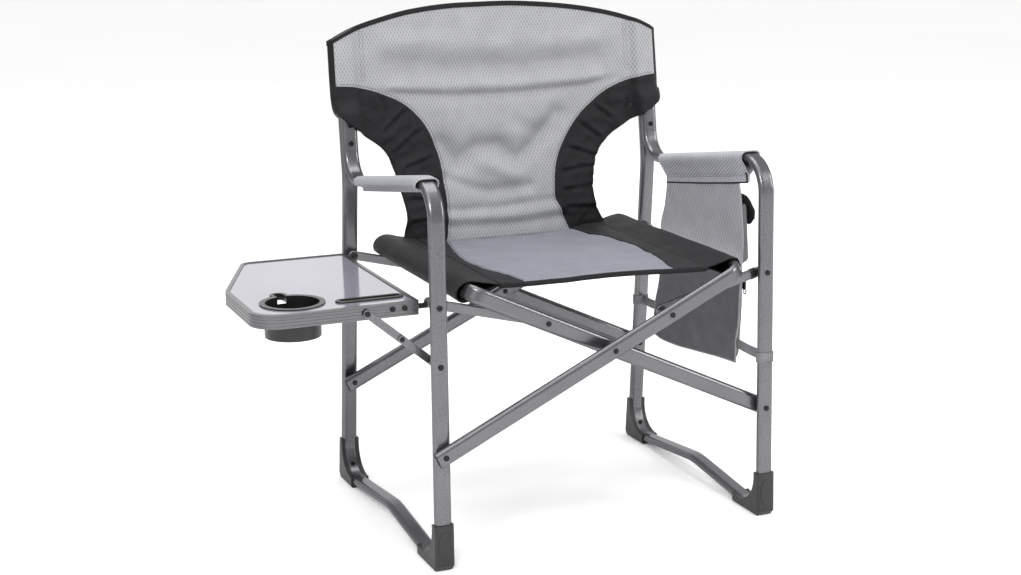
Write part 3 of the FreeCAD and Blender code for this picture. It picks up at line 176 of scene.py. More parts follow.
class Look:
    """One material: a Principled shader with helpers for procedural detail."""

    def __init__(self, name, roughness=0.6, metallic=0.0, **sockets):
        self.material = bpy.data.materials.new(name)
        self.material.use_nodes = True
        self.tree = self.material.node_tree
        self.shader = self.tree.nodes["Principled BSDF"]
        self.shader.inputs["Roughness"].default_value = roughness
        self.shader.inputs["Metallic"].default_value = metallic
        for socket, value in sockets.items():
            self.shader.inputs[socket.replace("_", " ")].default_value = value

    def add(self, kind, **values):
        """New node of a kind, with values on its named inputs."""
        node = self.tree.nodes.new("ShaderNode" + kind)
        for name, value in values.items():
            node.inputs[name.replace("_", " ")].default_value = value
        return node

    def cloth_uv(self):
        node = self.add("UVMap")
        node.uv_map = "cloth"
        return node.outputs["UV"]

    def cloth_position(self):
        """U and V of a cloth piece, in metres along and across it."""
        split = self.add("SeparateXYZ")
        self.tree.links.new(self.cloth_uv(), split.inputs[0])
        return Field(self.tree, split.outputs[0]), Field(self.tree, split.outputs[1])

    def solid_position(self):
        return self.add("TexCoord").outputs["Object"]

    def noise(self, scale, detail=3.0, stretch=(1.0, 1.0, 1.0), cloth=False):
        node = self.add("TexNoise", Scale=scale, Detail=detail, Roughness=0.55)
        mapping = self.add("Mapping", Scale=stretch)
        source = self.cloth_uv() if cloth else self.solid_position()
        self.tree.links.new(source, mapping.inputs["Vector"])
        self.tree.links.new(mapping.outputs[0], node.inputs["Vector"])
        return Field(self.tree, node.outputs["Fac"])

    def cells(self, scale):
        node = self.add("TexVoronoi", Scale=scale)
        self.tree.links.new(self.solid_position(), node.inputs["Vector"])
        return Field(self.tree, node.outputs["Distance"])

    def colour(self, factor, stops):
        """Base colour from a 0 to 1 value through (position, grey or rgb) stops."""
        ramp = self.add("ValToRGB")
        elements = ramp.color_ramp.elements
        while len(elements) < len(stops):
            elements.new(0.5)
        for element, (position, value) in zip(elements, stops):
            rgb = value if isinstance(value, tuple) else (value, value, value)
            element.position = position
            element.color = (*rgb, 1.0)
        self.tree.links.new(factor.socket, ramp.inputs["Fac"])
        self.tree.links.new(ramp.outputs["Color"], self.shader.inputs["Base Color"])

    def bump(self, height, distance, strength=1.0):
        node = self.add("Bump", Distance=distance, Strength=strength)
        self.tree.links.new(height.socket, node.inputs["Height"])
        self.tree.links.new(node.outputs["Normal"], self.shader.inputs["Normal"])

    def rough(self, field, low, high):
        node = self.add("MapRange", To_Min=low, To_Max=high)
        self.tree.links.new(field.socket, node.inputs["Value"])
        self.tree.links.new(node.outputs["Result"], self.shader.inputs["Roughness"])


EDGE_TINT = (0.35, 0.35, 0.37, 1.0)


def hammered_paint():
    look = Look("hammered_paint", metallic=0.85, Coat_Weight=0.45, Coat_Roughness=0.07)
    look.shader.inputs["Specular Tint"].default_value = EDGE_TINT
    grain = look.noise(620.0, 2.0)
    broad = look.noise(14.0, 2.0)
    look.colour(grain * 0.8 + broad * 0.2, [(0.3, (0.088, 0.087, 0.093)), (0.7, (0.172, 0.171, 0.181))])
    look.rough(grain, 0.26, 0.38)
    look.bump(grain + look.cells(300.0) * 0.5, 0.0004, 0.22)
    return look.material


def link_paint():
    look = Look("link_paint", metallic=0.85, Coat_Weight=0.4, Coat_Roughness=0.07)
    look.shader.inputs["Specular Tint"].default_value = EDGE_TINT
    grain = look.noise(700.0, 2.0)
    look.colour(grain, [(0.3, (0.11, 0.109, 0.115)), (0.7, (0.19, 0.189, 0.198))])
    look.rough(grain, 0.26, 0.38)
    look.bump(grain, 0.0003, 0.2)
    return look.material


def moulded_plastic(name, dark, light, roughness, shine=0.5):
    look = Look(name, Specular_IOR_Level=shine)
    grain = look.noise(1400.0, 2.0)
    broad = look.noise(30.0, 3.0)
    look.colour(broad, [(0.3, dark), (0.75, light)])
    look.rough(grain, roughness - 0.06, roughness + 0.08)
    look.bump(grain, 0.00025, 0.4)
    return look.material


def brushed_metal(name, dark, light, scale, stretch, roughness, depth, strength):
    """Metal with fine lines across its height."""
    look = Look(name, metallic=1.0)
    lines = look.noise(scale, 3.0, (1.0, 1.0, stretch))
    look.colour(lines, [(0.3, dark), (0.75, light)])
    look.rough(lines, *roughness)
    look.bump(lines, depth, strength)
    return look.material


def laminate():
    look = Look("laminate", IOR=1.7)
    cloud = look.noise(9.0, 4.0)
    speck = look.noise(900.0, 1.0)
    look.colour(cloud * 0.7 + speck * 0.3, [(0.3, (0.175, 0.171, 0.208)), (0.7, (0.20, 0.196, 0.236))])
    look.rough(cloud, 0.07, 0.11)
    look.bump(look.noise(30.0, 2.0), 0.0001, 0.06)
    return look.material


def patterned_mesh():
    """Backrest cloth: knitted mesh with small openings in staggered rows."""
    look = Look("patterned_mesh", roughness=0.85, Sheen_Weight=0.1, Sheen_Roughness=0.5)
    u, v = look.cloth_position()
    lattice = (u * (2.0 * math.pi / 0.0060)).sine() * (v * (2.0 * math.pi / 0.0108)).sine()
    holes = lattice.rising(0.15, 0.85)
    knots = (lattice * -1.0).rising(0.15, 0.85)
    fine = u.wave(0.0015) * v.wave(0.0015)
    patches = look.noise(22.0, 3.0, cloth=True)
    tone = holes * -0.32 + knots * 0.20 + fine * 0.06 + patches * 0.30 + 0.36
    look.colour(tone, [(0.1, (0.155, 0.157, 0.163)), (0.5, (0.275, 0.278, 0.287)),
                       (0.9, (0.385, 0.389, 0.40))])
    look.bump(knots - holes + fine * 0.25, 0.0006, 0.6)
    return look.material


def ribbed_mesh():
    """Seat cloth: bluish mesh with fine ribs from front to back."""
    look = Look("ribbed_mesh", roughness=0.8, Sheen_Weight=0.1, Sheen_Roughness=0.5)
    u, v = look.cloth_position()
    ribs = u.wave(0.0058)
    steps = (v + u.zigzag(0.0058) * 0.5).wave(0.0050)
    fine = v.wave(0.0017) * u.wave(0.0017)
    patches = look.noise(18.0, 3.0, cloth=True)
    tone = ribs * 0.60 + steps * 0.12 + fine * 0.04 + patches * 0.24
    look.colour(tone, [(0.1, (0.066, 0.070, 0.087)), (0.5, (0.145, 0.152, 0.184)),
                       (0.9, (0.238, 0.247, 0.292))])
    look.bump(ribs + steps * 0.6, 0.0006, 0.55)
    return look.material


def twill(name, dark, light, along_u, along_v):
    """Armrest and organiser cloth: slanting ribs, broken into small lozenges."""
    look = Look(name, roughness=0.82, Sheen_Weight=0.08, Sheen_Roughness=0.5)
    u, v = look.cloth_position()
    ribs = (u * along_u + v * along_v).wave(0.0050)
    breaks = (u * along_v - v * along_u).wave(0.0095)
    patches = look.noise(26.0, 3.0, cloth=True)
    tone = ribs * 0.48 + breaks * 0.20 + patches * 0.32
    middle = tuple((a + b) / 2.0 for a, b in zip(dark, light))
    look.colour(tone, [(0.1, dark), (0.5, middle), (0.9, light)])
    look.bump(ribs + breaks * 0.5, 0.0005, 0.55)
    return look.material


def plain_cloth(name, dark, light, roughness=0.78):
    """Tightly woven cloth of the wings, bindings, straps and threads."""
    look = Look(name, Sheen_Weight=0.03, Sheen_Roughness=0.4, Specular_IOR_Level=0.22)
    u, v = look.cloth_position()
    threads = u.wave(0.0013) * v.wave(0.0013)
    patches = look.noise(30.0, 4.0, cloth=True)
    look.colour(threads * 0.4 + patches * 0.6, [(0.25, dark), (0.75, light)])
    look.rough(patches, roughness - 0.08, roughness + 0.08)
    look.bump(threads + patches * 1.5, 0.0005, 0.5)
    return look.material


TUBE = hammered_paint()
LINK = link_paint()
BOOT = moulded_plastic("boot_plastic_look", 0.013, 0.023, 0.48, 0.42)
BLACK_PLASTIC = moulded_plastic("black_plastic_look", 0.005, 0.011, 0.34)
RIVET = moulded_plastic("dark_rivet", 0.005, 0.009, 0.13, 0.22)
ZIP_METAL = brushed_metal("zip_metal_look", 0.35, 0.6, 260.0, 6.0, (0.16, 0.34), 0.0001, 0.3)
ALLOY = brushed_metal("extruded_alloy", (0.115, 0.115, 0.121), (0.215, 0.215, 0.224), 90.0, 40.0,
                      (0.26, 0.42), 0.0002, 0.25)
TOP = laminate()
BACK_CLOTH = patterned_mesh()
SEAT_CLOTH = ribbed_mesh()
# The left armrest uses a darker copy of the armrest twill, which is painted shade so that it reads right
# under these lights.
LEFT_ARM_SHADED_TWILL = twill("left_arm_twill_painted_shade", (0.125, 0.126, 0.142), (0.40, 0.404, 0.44), 1.0, 0.42)
ARM_CLOTH = twill("arm_twill", (0.165, 0.166, 0.187), (0.50, 0.504, 0.548), 1.0, 0.42)
POUCH_CLOTH = twill("pouch_twill", (0.135, 0.136, 0.150), (0.42, 0.424, 0.452), -0.42, 1.0)
POUCH_DARK = plain_cloth("pouch_lower", (0.080, 0.081, 0.088), (0.150, 0.151, 0.162))
STRAP = plain_cloth("strap_webbing", (0.12, 0.121, 0.126), (0.24, 0.242, 0.25))
BLACK_CLOTH = plain_cloth("black_cloth_look", (0.0045, 0.0047, 0.0055), (0.0145, 0.0149, 0.0170), 0.66)
BINDING = plain_cloth("binding_look", (0.005, 0.0052, 0.0060), (0.0105, 0.0108, 0.0122), 0.7)
PIPING = plain_cloth("pale_piping", (0.24, 0.24, 0.25), (0.36, 0.36, 0.37))
THREAD = plain_cloth("thread_look", (0.035, 0.036, 0.039), (0.06, 0.061, 0.065))
PALE_THREAD = plain_cloth("pale_thread_look", (0.13, 0.13, 0.135), (0.20, 0.20, 0.205))

NODE_LOOKS = {
    "frame_tube": TUBE, "link_metal": LINK, "boot_plastic": BOOT, "plug_plastic": BLACK_PLASTIC,
    "rivet_steel": RIVET, "table_alloy": ALLOY, "table_laminate": TOP, "cup_plastic": BLACK_PLASTIC,
    "hinge_steel": BLACK_PLASTIC, "zip_metal": ZIP_METAL, "black_cloth": BINDING,
}
for entry in frame["record"]["subparts"]:
    look = NODE_LOOKS.get(entry["material_slot"])
    node = frame["nodes"][entry["node"]]
    if look:
        node.data.materials.clear()
        node.data.materials.append(look)


# ---------------- mesh helpers

def new_piece(name, vertices, faces, uvs, material, body):
    """A mesh piece in metres, with cloth UVs per vertex, riding on a body."""
    mesh = bpy.data.meshes.new(name)
    mesh.from_pydata([tuple(v) for v in vertices], [], faces)
    layer = mesh.uv_layers.new(name="cloth")
    for loop in mesh.loops:
        layer.data[loop.index].uv = uvs[loop.vertex_index]
    mesh.materials.append(material)
    mesh.shade_smooth()
    piece = bpy.data.objects.new(name, mesh)
    bpy.context.scene.collection.objects.link(piece)
    if body:
        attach(piece, body)
    return piece


def grid_faces(rows, columns, wrap=False):
    faces = []
    for r in range(rows - 1):
        for c in range(columns if wrap else columns - 1):
            d = (c + 1) % columns
            faces.append((r * columns + c, r * columns + d, (r + 1) * columns + d, (r + 1) * columns + c))
    return faces


def cloth_shell(name, surface, rows, columns, thickness, material, body):
    """Closed thin shell: surface(r, c) in 0..1 gives (point, normal, uv, share of the thickness)."""
    front, back, uvs = [], [], []
    for r in range(rows):
        for c in range(columns):
            point, normal, uv, share = surface(r / (rows - 1), c / (columns - 1))
            half = normal * (thickness * share / 2000.0)
            front.append(point - half)
            back.append(point + half)
            uvs.append(uv)
    count = len(front)
    faces = grid_faces(rows, columns)
    faces += [tuple(count + i for i in reversed(face)) for face in faces]
    border = [c for c in range(columns)]
    border += [r * columns + columns - 1 for r in range(1, rows)]
    border += [(rows - 1) * columns + c for c in range(columns - 2, -1, -1)]
    border += [r * columns for r in range(rows - 2, 0, -1)]
    for a, b in zip(border, border[1:] + border[:1]):
        faces.append((b, a, count + a, count + b))
    return new_piece(name, front + back, faces, uvs + uvs, material, body)


def tube_along(name, points, radius, material, body, squeeze=1.0, flat_axis=UP, sides=10):
    """Round or flattened cord-like trim along points in metres, such as piping or a binding."""
    vertices, uvs = [], []
    length = 0.0
    for i, point in enumerate(points):
        ahead = points[min(i + 1, len(points) - 1)] - points[max(i - 1, 0)]
        direction = ahead.normalized()
        wide = (flat_axis - direction * flat_axis.dot(direction)).normalized()
        thin = direction.cross(wide)
        if i:
            length += (point - points[i - 1]).length
        for s in range(sides):
            angle = 2.0 * math.pi * s / sides
            offset = wide * (math.cos(angle) * radius / 1000.0)
            offset += thin * (math.sin(angle) * radius * squeeze / 1000.0)
            vertices.append(point + offset)
            uvs.append((radius / 1000.0 * angle, length))
    faces = grid_faces(len(points), sides, wrap=True)
    faces.append(tuple(reversed(range(sides))))
    faces.append(tuple(range((len(points) - 1) * sides, len(points) * sides)))
    return new_piece(name, vertices, faces, uvs, material, body)


def stitches(name, points, material, body, stitch=3.4, gap=1.5, radius=0.42):
    """Row of short raised threads along points in metres."""
    vertices, faces, uvs = [], [], []
    lengths = [0.0]
    for a, b in zip(points, points[1:]):
        lengths.append(lengths[-1] + (b - a).length * 1000.0)
    rows = [(length, *point) for length, point in zip(lengths, points)]
    position = gap
    while position + stitch < lengths[-1]:
        start = Vector(along_curve(rows, position))
        end = Vector(along_curve(rows, position + stitch))
        direction = (end - start).normalized()
        side = direction.orthogonal().normalized()
        other = direction.cross(side)
        base = len(vertices)
        for t, share in ((0.0, 0.35), (0.25, 1.0), (0.75, 1.0), (1.0, 0.35)):
            centre = start.lerp(end, t)
            for s in range(5):
                angle = 2.0 * math.pi * s / 5.0
                offset = side * math.cos(angle) + other * math.sin(angle)
                vertices.append(centre + offset * (radius * share / 1000.0))
                uvs.append((t * stitch / 1000.0, s * 0.0005))
        faces += [tuple(base + i for i in face) for face in grid_faces(4, 5, wrap=True)]
        faces.append(tuple(base + i for i in reversed(range(5))))
        faces.append(tuple(base + 15 + i for i in range(5)))
        position += stitch + gap
    return new_piece(name, vertices, faces, uvs, material, body)


def ripple(x, y, size, seed):
    """Soft random relief, -1 to 1."""
    return noise.noise(Vector((x / size, y / size, seed)))


def ridge(x, z, points, width):
    """1 on a line through (x, z) points and falling to 0 at about its width from it."""
    nearest = 1e9
    for (ax, az), (bx, bz) in zip(points, points[1:]):
        length = (bx - ax) ** 2 + (bz - az) ** 2
        t = min(max(((x - ax) * (bx - ax) + (z - az) * (bz - az)) / length, 0.0), 1.0)
        nearest = min(nearest, math.hypot(x - ax - t * (bx - ax), z - az - t * (bz - az)))
    return math.exp(-(nearest / width) ** 2)


# ---------------- backrest

BACK_SLOPE = 0.13
BACK_BOTTOM = 437.0
BACK_CORNER_Z = 803.0
BACK_LEFT = [(437, -202), (457, -195), (487, -190), (511, -192), (538, -198), (569, -206), (595, -215),
             (613, -228), (634, -256), (652, -283), (666, -302), (679, -314), (700, -318.5), (803, -319)]
BACK_RIGHT = [(437, 200), (448, 193), (467, 183), (490, 176), (518, 176), (554, 181), (582, 193),
              (607, 215), (631, 248), (649, 282), (668, 310), (682, 319), (700, 321), (803, 320.5)]
BACK_TOP = [(-320, 802), (-276, 823), (-227, 838), (-170, 851), (-103, 859), (-36, 861), (32, 861),
            (106, 856), (171, 848), (233, 836), (283, 821), (320, 803)]
WING_LEFT = [(-316, 724), (-279, 721), (-247, 714), (-220, 704), (-192, 691), (-169, 674), (-150, 652),
             (-135, 626), (-124, 598), (-119, 567), (-117, 536), (-115, 501), (-116, 462), (-120, 438)]
WING_RIGHT = [(319, 718), (286, 714), (253, 707), (220, 693), (192, 674), (164, 652), (140, 625),
              (120, 594), (107, 563), (101, 532), (100, 500), (109, 477), (120, 448), (124, 438)]
BACK_FOLDS = [
    (((-300, 722), (-208, 706), (-97, 695), (39, 694), (176, 701), (290, 722)), 8.0, 5.0),
    (((-250, 714), (-120, 714), (40, 711), (200, 718)), 13.0, -4.6),
    (((-260, 765), (-120, 746), (60, 742), (250, 756)), 20.0, 5.5),
    (((-240, 800), (-60, 784), (120, 782), (250, 796)), 20.0, -3.5),
    (((-118, 612), (-88, 574), (-52, 598), (-8, 602), (30, 572), (72, 604), (116, 652)), 17.0, 8.0),
    (((-95, 650), (-40, 640), (30, 632), (80, 660)), 28.0, -4.0),
    (((-40, 574), (-8, 560), (22, 548)), 18.0, -4.5),
    (((30, 640), (66, 626), (112, 622)), 14.0, 2.4),
    (((-108, 548), (-70, 530), (-30, 520), (50, 524)), 11.0, 4.0),
    (((-112, 492), (-20, 490), (100, 498)), 8.0, 2.2),
    (((-110, 478), (0, 474), (112, 480)), 9.0, -2.2),
    (((-112, 462), (10, 458), (118, 464)), 8.0, 2.0),
]


def back_plane_y(z):
    """Depth of the middle of the back cloth at a height, before its folds."""
    return 202.7 + BACK_SLOPE * (z - 560.0)


def back_half_thickness(x, z):
    """Half depth of the back cloth: a tunnel round each post above the wing's lower edge, flat between."""
    across = abs(abs(x) - POST_X)
    return 10.2 * smooth(30.0 - across, 0.0, 17.0) * smooth(z, 600.0, 640.0)


def arm_end_bulge(x, z):
    """How far the wing stands forward where it passes over the end of the armrest tube."""
    across = abs(abs(x) - POST_X)
    upright = (1.0 - smooth(z, 674.0, 700.0)) * smooth(z, 600.0, 640.0)
    return 15.0 * smooth(38.0 - across, 0.0, 22.0) * upright


def back_relief(x, z):
    """Depth of the folds in the back cloth; positive goes towards the rear."""
    depth = 0.0
    for line, width, height in BACK_FOLDS:
        depth += height * ridge(x, z, line, width)
    middle = 1.0 - smooth(abs(x), 190.0, 262.0)
    sling = 9.0 * middle * smooth(z, 470.0, 600.0) * (1.0 - smooth(z, 690.0, 850.0))
    soft = 1.6 * ripple(x, z * 1.8, 90.0, 3.1) + 0.7 * ripple(x, z * 1.5, 34.0, 5.2)
    return (depth * 1.35 + soft * 1.3) * middle + sling + wing_folds(x, z)


def wing_folds(x, z):
    """Small creases of the stiffer wing cloth, none at its inner seam."""
    points = WING_LEFT if x < 0 else WING_RIGHT
    if z > points[0][1]:
        return 0.0
    inner = along_curve([(-b, a) for a, b in points], -z)[0]
    inside = smooth((abs(x) - abs(inner)), 2.0, 26.0) * (1.0 - smooth(abs(x), 262.0, 285.0))
    folds = 3.2 * ripple(x * 0.7 + z * 0.5, z - x * 0.5, 26.0, 9.0) + 1.5 * ripple(x, z, 11.0, 4.0)
    for line in WING_CREASES:
        folds += 4.2 * ridge(abs(x), z, line, 5.0) - 2.6 * ridge(abs(x) - 7.0, z - 5.0, line, 7.0)
    return folds * inside


WING_CREASES = [
    ((232, 712), (216, 664)), ((176, 676), (220, 640)), ((150, 640), (196, 606)), ((128, 590), (184, 572)),
    ((122, 546), (178, 552)), ((120, 512), (176, 516)), ((122, 480), (180, 476)), ((270, 708), (262, 664)),
]


def back_top(x):
    return along_curve(BACK_TOP, x)[0]


BACK_NORMAL = Vector((0.0, 1.0, -BACK_SLOPE)).normalized()


def back_middle(x, z):
    """Point in the middle of the back cloth's thickness."""
    return place(x, back_plane_y(z) + back_relief(x, z), z)


def back_point(x, z, proud=0.0):
    """Point on the front of the back cloth, proud of it by a distance in millimetres."""
    half = back_half_thickness(x, z)
    return back_middle(x, z) - BACK_NORMAL * ((half + arm_end_bulge(x, z) + 1.3 + proud) / 1000.0)


def back_layer(x, z, thickness, rounding=1.0):
    """Middle, normal, cloth position and thickness share of a layer of the back cloth."""
    bulge = arm_end_bulge(x, z)
    middle = back_middle(x, z) - BACK_NORMAL * (bulge / 2000.0)
    share = (2.0 * back_half_thickness(x, z) + bulge + thickness * rounding) / thickness
    return middle, BACK_NORMAL, (x / 1000.0, z / 1000.0), share


def back_cloth(r, c):
    """Centre panel of the back, from edge to edge and up to its curved top."""
    nominal = mix(BACK_BOTTOM, BACK_CORNER_Z, r)
    x = mix(along_curve(BACK_LEFT, nominal)[0] + 1.5, along_curve(BACK_RIGHT, nominal)[0] - 1.5, c)
    z = nominal + (back_top(x) - BACK_CORNER_Z) * smooth(nominal, 640.0, 803.0)
    return back_layer(x, z, 2.2)


def wing_outline(side):
    """Inner curve and outer curve of a wing, as matching lists of (x, z)."""
    inner = WING_LEFT if side < 0 else WING_RIGHT
    edge = BACK_LEFT if side < 0 else BACK_RIGHT
    top_z = inner[0][1]
    outer = [(x + side * 0.8, z) for z, x in edge if z < top_z - 4.0]
    outer.append((along_curve(edge, top_z)[0] + side * 0.8, top_z))
    outer.reverse()
    return inner, outer


def wing(side):
    inner, outer = wing_outline(side)
    count = 150
    inner = curve_through(inner, count)
    outer = curve_through(outer, count)

    def surface(r, c):
        ax, az = between(inner, r)
        bx, bz = between(outer, r)
        x = mix(ax, bx, c)
        z = mix(az, bz, c)
        rounding = math.sqrt(max(1.0 - max(abs(c - 0.5) * 2.0 - 0.9, 0.0) * 6.0, 0.15))
        return back_layer(x, z, 4.4, rounding)

    name = f"back_{side_word(side)}_wing"
    shell = cloth_shell(name, surface, count, 34, 4.4, BLACK_CLOTH, None)
    return shell, inner, outer


def between(curve, share):
    """Point at a share of the way through a list of evenly spaced points."""
    position = share * (len(curve) - 1)
    low = int(min(position, len(curve) - 2))
    return [mix(a, b, position - low) for a, b in zip(curve[low], curve[low + 1])]


def offset_curve(points, distance):
    """The same curve moved sideways, to its left when walking along it."""
    moved = []
    for i, (x, z) in enumerate(points):
        ax, az = points[max(i - 1, 0)]
        bx, bz = points[min(i + 1, len(points) - 1)]
        length = math.hypot(bx - ax, bz - az)
        moved.append((x - (bz - az) / length * distance, z + (bx - ax) / length * distance))
    return moved


def folded_over(x, z, across):
    """Thickness share of a binding folded over the edge of the back; across runs 0 to 1 out to the edge."""
    rounding = math.sqrt(max(1.0 - (max(across - 0.72, 0.0) / 0.28) ** 2, 0.04))
    return (back_half_thickness(x, z) + 2.1) * rounding


def top_binding(r, c):
    x = mix(-321.0, 321.0, c)
    z = back_top(x) - 7.6 + 9.0 * r
    return back_middle(x, z), BACK_NORMAL, (x / 1000.0, z / 1000.0), folded_over(x, z, r)


def side_binding(side):
    edge = BACK_LEFT if side < 0 else BACK_RIGHT

    def surface(r, c):
        z = mix(676.0, 802.0, r)
        x = along_curve(edge, z)[0] + side * mix(-6.6, 1.6, c)
        return back_middle(x, z), BACK_NORMAL, (z / 1000.0, x / 1000.0), folded_over(x, z, c)

    return surface


def build_backrest():
    pieces = []
    cloth = cloth_shell("back_panel", back_cloth, 170, 190, 2.2, BACK_CLOTH, None)
    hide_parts("backrest")
    pieces.append(cloth)
    for word, side in SIDES:
        shell, inner, outer = wing(side)
        pieces.append(shell)
        seam = offset_curve(inner, -side * 3.6)
        line = [back_point(x, z, 1.7) for x, z in seam[4:-2]]
        pieces.append(stitches("wing_stitch_" + word, line, THREAD, None, 3.6, 1.6, 0.45))
        hem_line = []
        for x, z in [point for point in outer if point[1] < 690.0]:
            forward = back_half_thickness(x, z) + arm_end_bulge(x, z)
            hem_line.append(back_middle(x, z) - BACK_NORMAL * (forward / 1000.0))
        pieces.append(tube_along("wing_binding_" + word, hem_line, 3.2, BINDING, None, 0.9))
        seam_x = side * 262.0
        heights = [mix(728.0, back_top(seam_x) - 7.0, i / 40.0) for i in range(41)]
        for name, inward in (("post_seam_", 0.0), ("post_seam_inner_", 6.0)):
            line = [back_point(seam_x - side * inward, z, 0.25) for z in heights]
            pieces.append(stitches(name + word, line, PALE_THREAD, None, 3.2, 1.6, 0.36))
    pieces.append(cloth_shell("top_binding", top_binding, 9, 200, 2.0, BINDING, None))
    for word, side in SIDES:
        pieces.append(cloth_shell("side_binding_" + word, side_binding(side), 70, 9, 2.0, BINDING, None))
    return pieces


# ---------------- seat

SEAM_X = 178.0
SEAT_FRONT = [(-178, -199), (-60, -209), (60, -220), (178, -231)]
SEAT_REAR_Y = 190.0
SEAT_PANEL_LEFT = [(-121, 190), (-139, 120), (-158, 37), (-165, -27), (-160, -77), (-152, -121), (-143, -159),
                   (-134, -207)]
SEAT_PANEL_RIGHT = [(124, 190), (134, 115), (145, 78), (150, 28), (150, -29), (149, -81), (141, -135),
                    (131, -183), (122, -226)]
RAIL = (235.3, 440.3)
SLEEVE_REAR_Y = 203.0
SLEEVE_LOOP = [(178.0, 446.0), (192.0, 449.0), (208.0, 453.0), (222.0, 456.2), (233.0, 457.2), (243.0, 454.5),
               (251.0, 448.0), (254.5, 440.0), (254.0, 431.5), (248.5, 425.0), (241.0, 422.8), (231.0, 424.6),
               (218.0, 429.0), (202.0, 435.5), (188.0, 440.8), (178.0, 443.2)]


def seat_height(x, y):
    """Top of the seat cloth between the seams."""
    slope = 447.0 - 8.5 * smooth(y, -230.0, 190.0)
    edge = smooth(abs(x), 100.0, SEAM_X)
    height = mix(slope, 446.0, edge)
    folds = 2.4 * ripple(x * 0.4, y * 1.8, 60.0, 1.5) + 0.9 * ripple(x * 0.6, y * 1.6, 24.0, 7.5)
    folds += 1.6 * ridge(x, y, ((-150, -60), (-60, -20), (60, -60), (150, -20)), 16.0)
    folds -= 1.6 * ridge(x, y, ((-150, 60), (-30, 30), (70, 60), (140, 30)), 20.0)
    return height + folds * (1.0 - smooth(abs(x), 150.0, SEAM_X))


def seat_front_y(x):
    return along_curve(SEAT_FRONT, x)[0]


def seat_panel(r, c):
    x = mix(-SEAM_X, SEAM_X, c)
    y = mix(seat_front_y(x), SEAT_REAR_Y, r)
    return place(x, y, seat_height(x, y) - 1.3), -UP, (x / 1000.0, y / 1000.0), 1.0


def seat_side(side):
    """Black panel between the seam and the curved edge of the centre panel."""
    curve = curve_through(SEAT_PANEL_LEFT if side < 0 else SEAT_PANEL_RIGHT, 80)

    def surface(r, c):
        inner_x, inner_y = between(curve, r)
        outer_x = side * (SEAM_X + 0.5)
        outer_y = mix(SEAT_REAR_Y, seat_front_y(outer_x * 0.999), r)
        x = mix(inner_x, outer_x, c)
        y = mix(inner_y, outer_y, c)
        folds = 0.9 * ripple(x, y * 0.6, 18.0, 2.0 + side) * math.sin(math.pi * c)
        return place(x, y, seat_height(x, y) - 0.2 + folds), -UP, (x / 1000.0, y / 1000.0), 1.0

    shell = cloth_shell("seat_side_" + side_word(side), surface, 80, 26, 2.8, BLACK_CLOTH, None)
    return shell, curve


def sleeve_front(side, x):
    """Front end of a rail sleeve, cut back over the bend of the rail."""
    if side < 0:
        return mix(-200.0, -204.0, smooth(x, 178.0, 230.0))
    return mix(-232.0, -214.0, smooth(x, 236.0, 254.0))


def seat_sleeve(side):
    """Tunnel of black cloth round a seat rail, sewn to the panel along the seam."""
    loop = curve_through(SLEEVE_LOOP, 64)
    rows = 110
    vertices, uvs = [], []
    for r in range(rows):
        t = r / (rows - 1)
        around = 0.0
        for k, (x, z) in enumerate(loop):
            if k:
                around += math.hypot(x - loop[k - 1][0], z - loop[k - 1][1])
            y = mix(sleeve_front(side, x), SLEEVE_REAR_Y, t)
            outward = Vector((x - RAIL[0], z - RAIL[1]))
            loose = smooth(235.0 - x, 0.0, 40.0)
            push = (0.5 + 1.3 * loose) * ripple(around * 0.8, y * 0.35, 15.0, 6.0 + side)
            push += 0.7 * ripple(around, y, 40.0, 8.0 + side)
            seam = smooth(x, 178.0, 190.0)
            move = outward.normalized() * (push * seam)
            seat_z = seat_height(side * SEAM_X, y) - 446.0
            vertices.append(place(side * (x + move.x), y, z + move.y + seat_z * (1.0 - seam)))
            uvs.append((around / 1000.0, y / 1000.0))
    faces = grid_faces(rows, len(loop))
    if side > 0:
        faces = [tuple(reversed(face)) for face in faces]
    piece = new_piece("seat_sleeve_" + side_word(side), vertices, faces, uvs, BLACK_CLOTH, None)
    thicken(piece, 1.4)
    return piece


def thicken(piece, thickness):
    modifier = piece.modifiers.new("thickness", "SOLIDIFY")
    modifier.thickness = thickness / 1000.0
    modifier.offset = 1.0
    modifier.use_even_offset = True
    depsgraph = bpy.context.evaluated_depsgraph_get()
    made = bpy.data.meshes.new_from_object(piece.evaluated_get(depsgraph))
    piece.modifiers.clear()
    piece.data = made


def build_seat():
    pieces = [cloth_shell("seat_panel", seat_panel, 110, 100, 2.6, SEAT_CLOTH, None)]
    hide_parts("seat")
    for word, side in SIDES:
        shell, curve = seat_side(side)
        pieces.append(shell)
        seam = offset_curve(curve, 3.4)[2:-2]
        pieces.append(stitches("seat_stitch_" + word, [place(x, y, seat_height(x, y) + 1.5) for x, y in seam],
                               THREAD, None, 3.6, 1.6, 0.42))
        pieces.append(seat_sleeve(side))
        front = seat_front_y(side * 177.0)
        rows = [mix(front + 4.0, SEAT_REAR_Y - 4.0, i / 60.0) for i in range(61)]
        line = [place(side * 182.5, y, seat_height(side * SEAM_X, y) + 2.2) for y in rows]
        pieces.append(stitches("rail_stitch_" + word, line, THREAD, None, 3.6, 1.6, 0.42))
    binding = []
    for i in range(90):
        x = mix(-180.0, 180.0, i / 89.0)
        binding.append(place(x, seat_front_y(x) - 0.5, seat_height(x, seat_front_y(x)) - 2.6))
    pieces.append(tube_along("seat_front_binding", binding, 4.4, BINDING, None, 0.55))
    return pieces


# ---------------- armrests

ARM_SLOPE = 0.156


def arm_line(y):
    """Height of the middle of the armrest tube."""
    return 589.2 - ARM_SLOPE * y


# The sleeve runs from the start of the front bend to this side of the rear one.
ARM_BEND_Y = -161.4
ARM_REAR_Y = 128.0
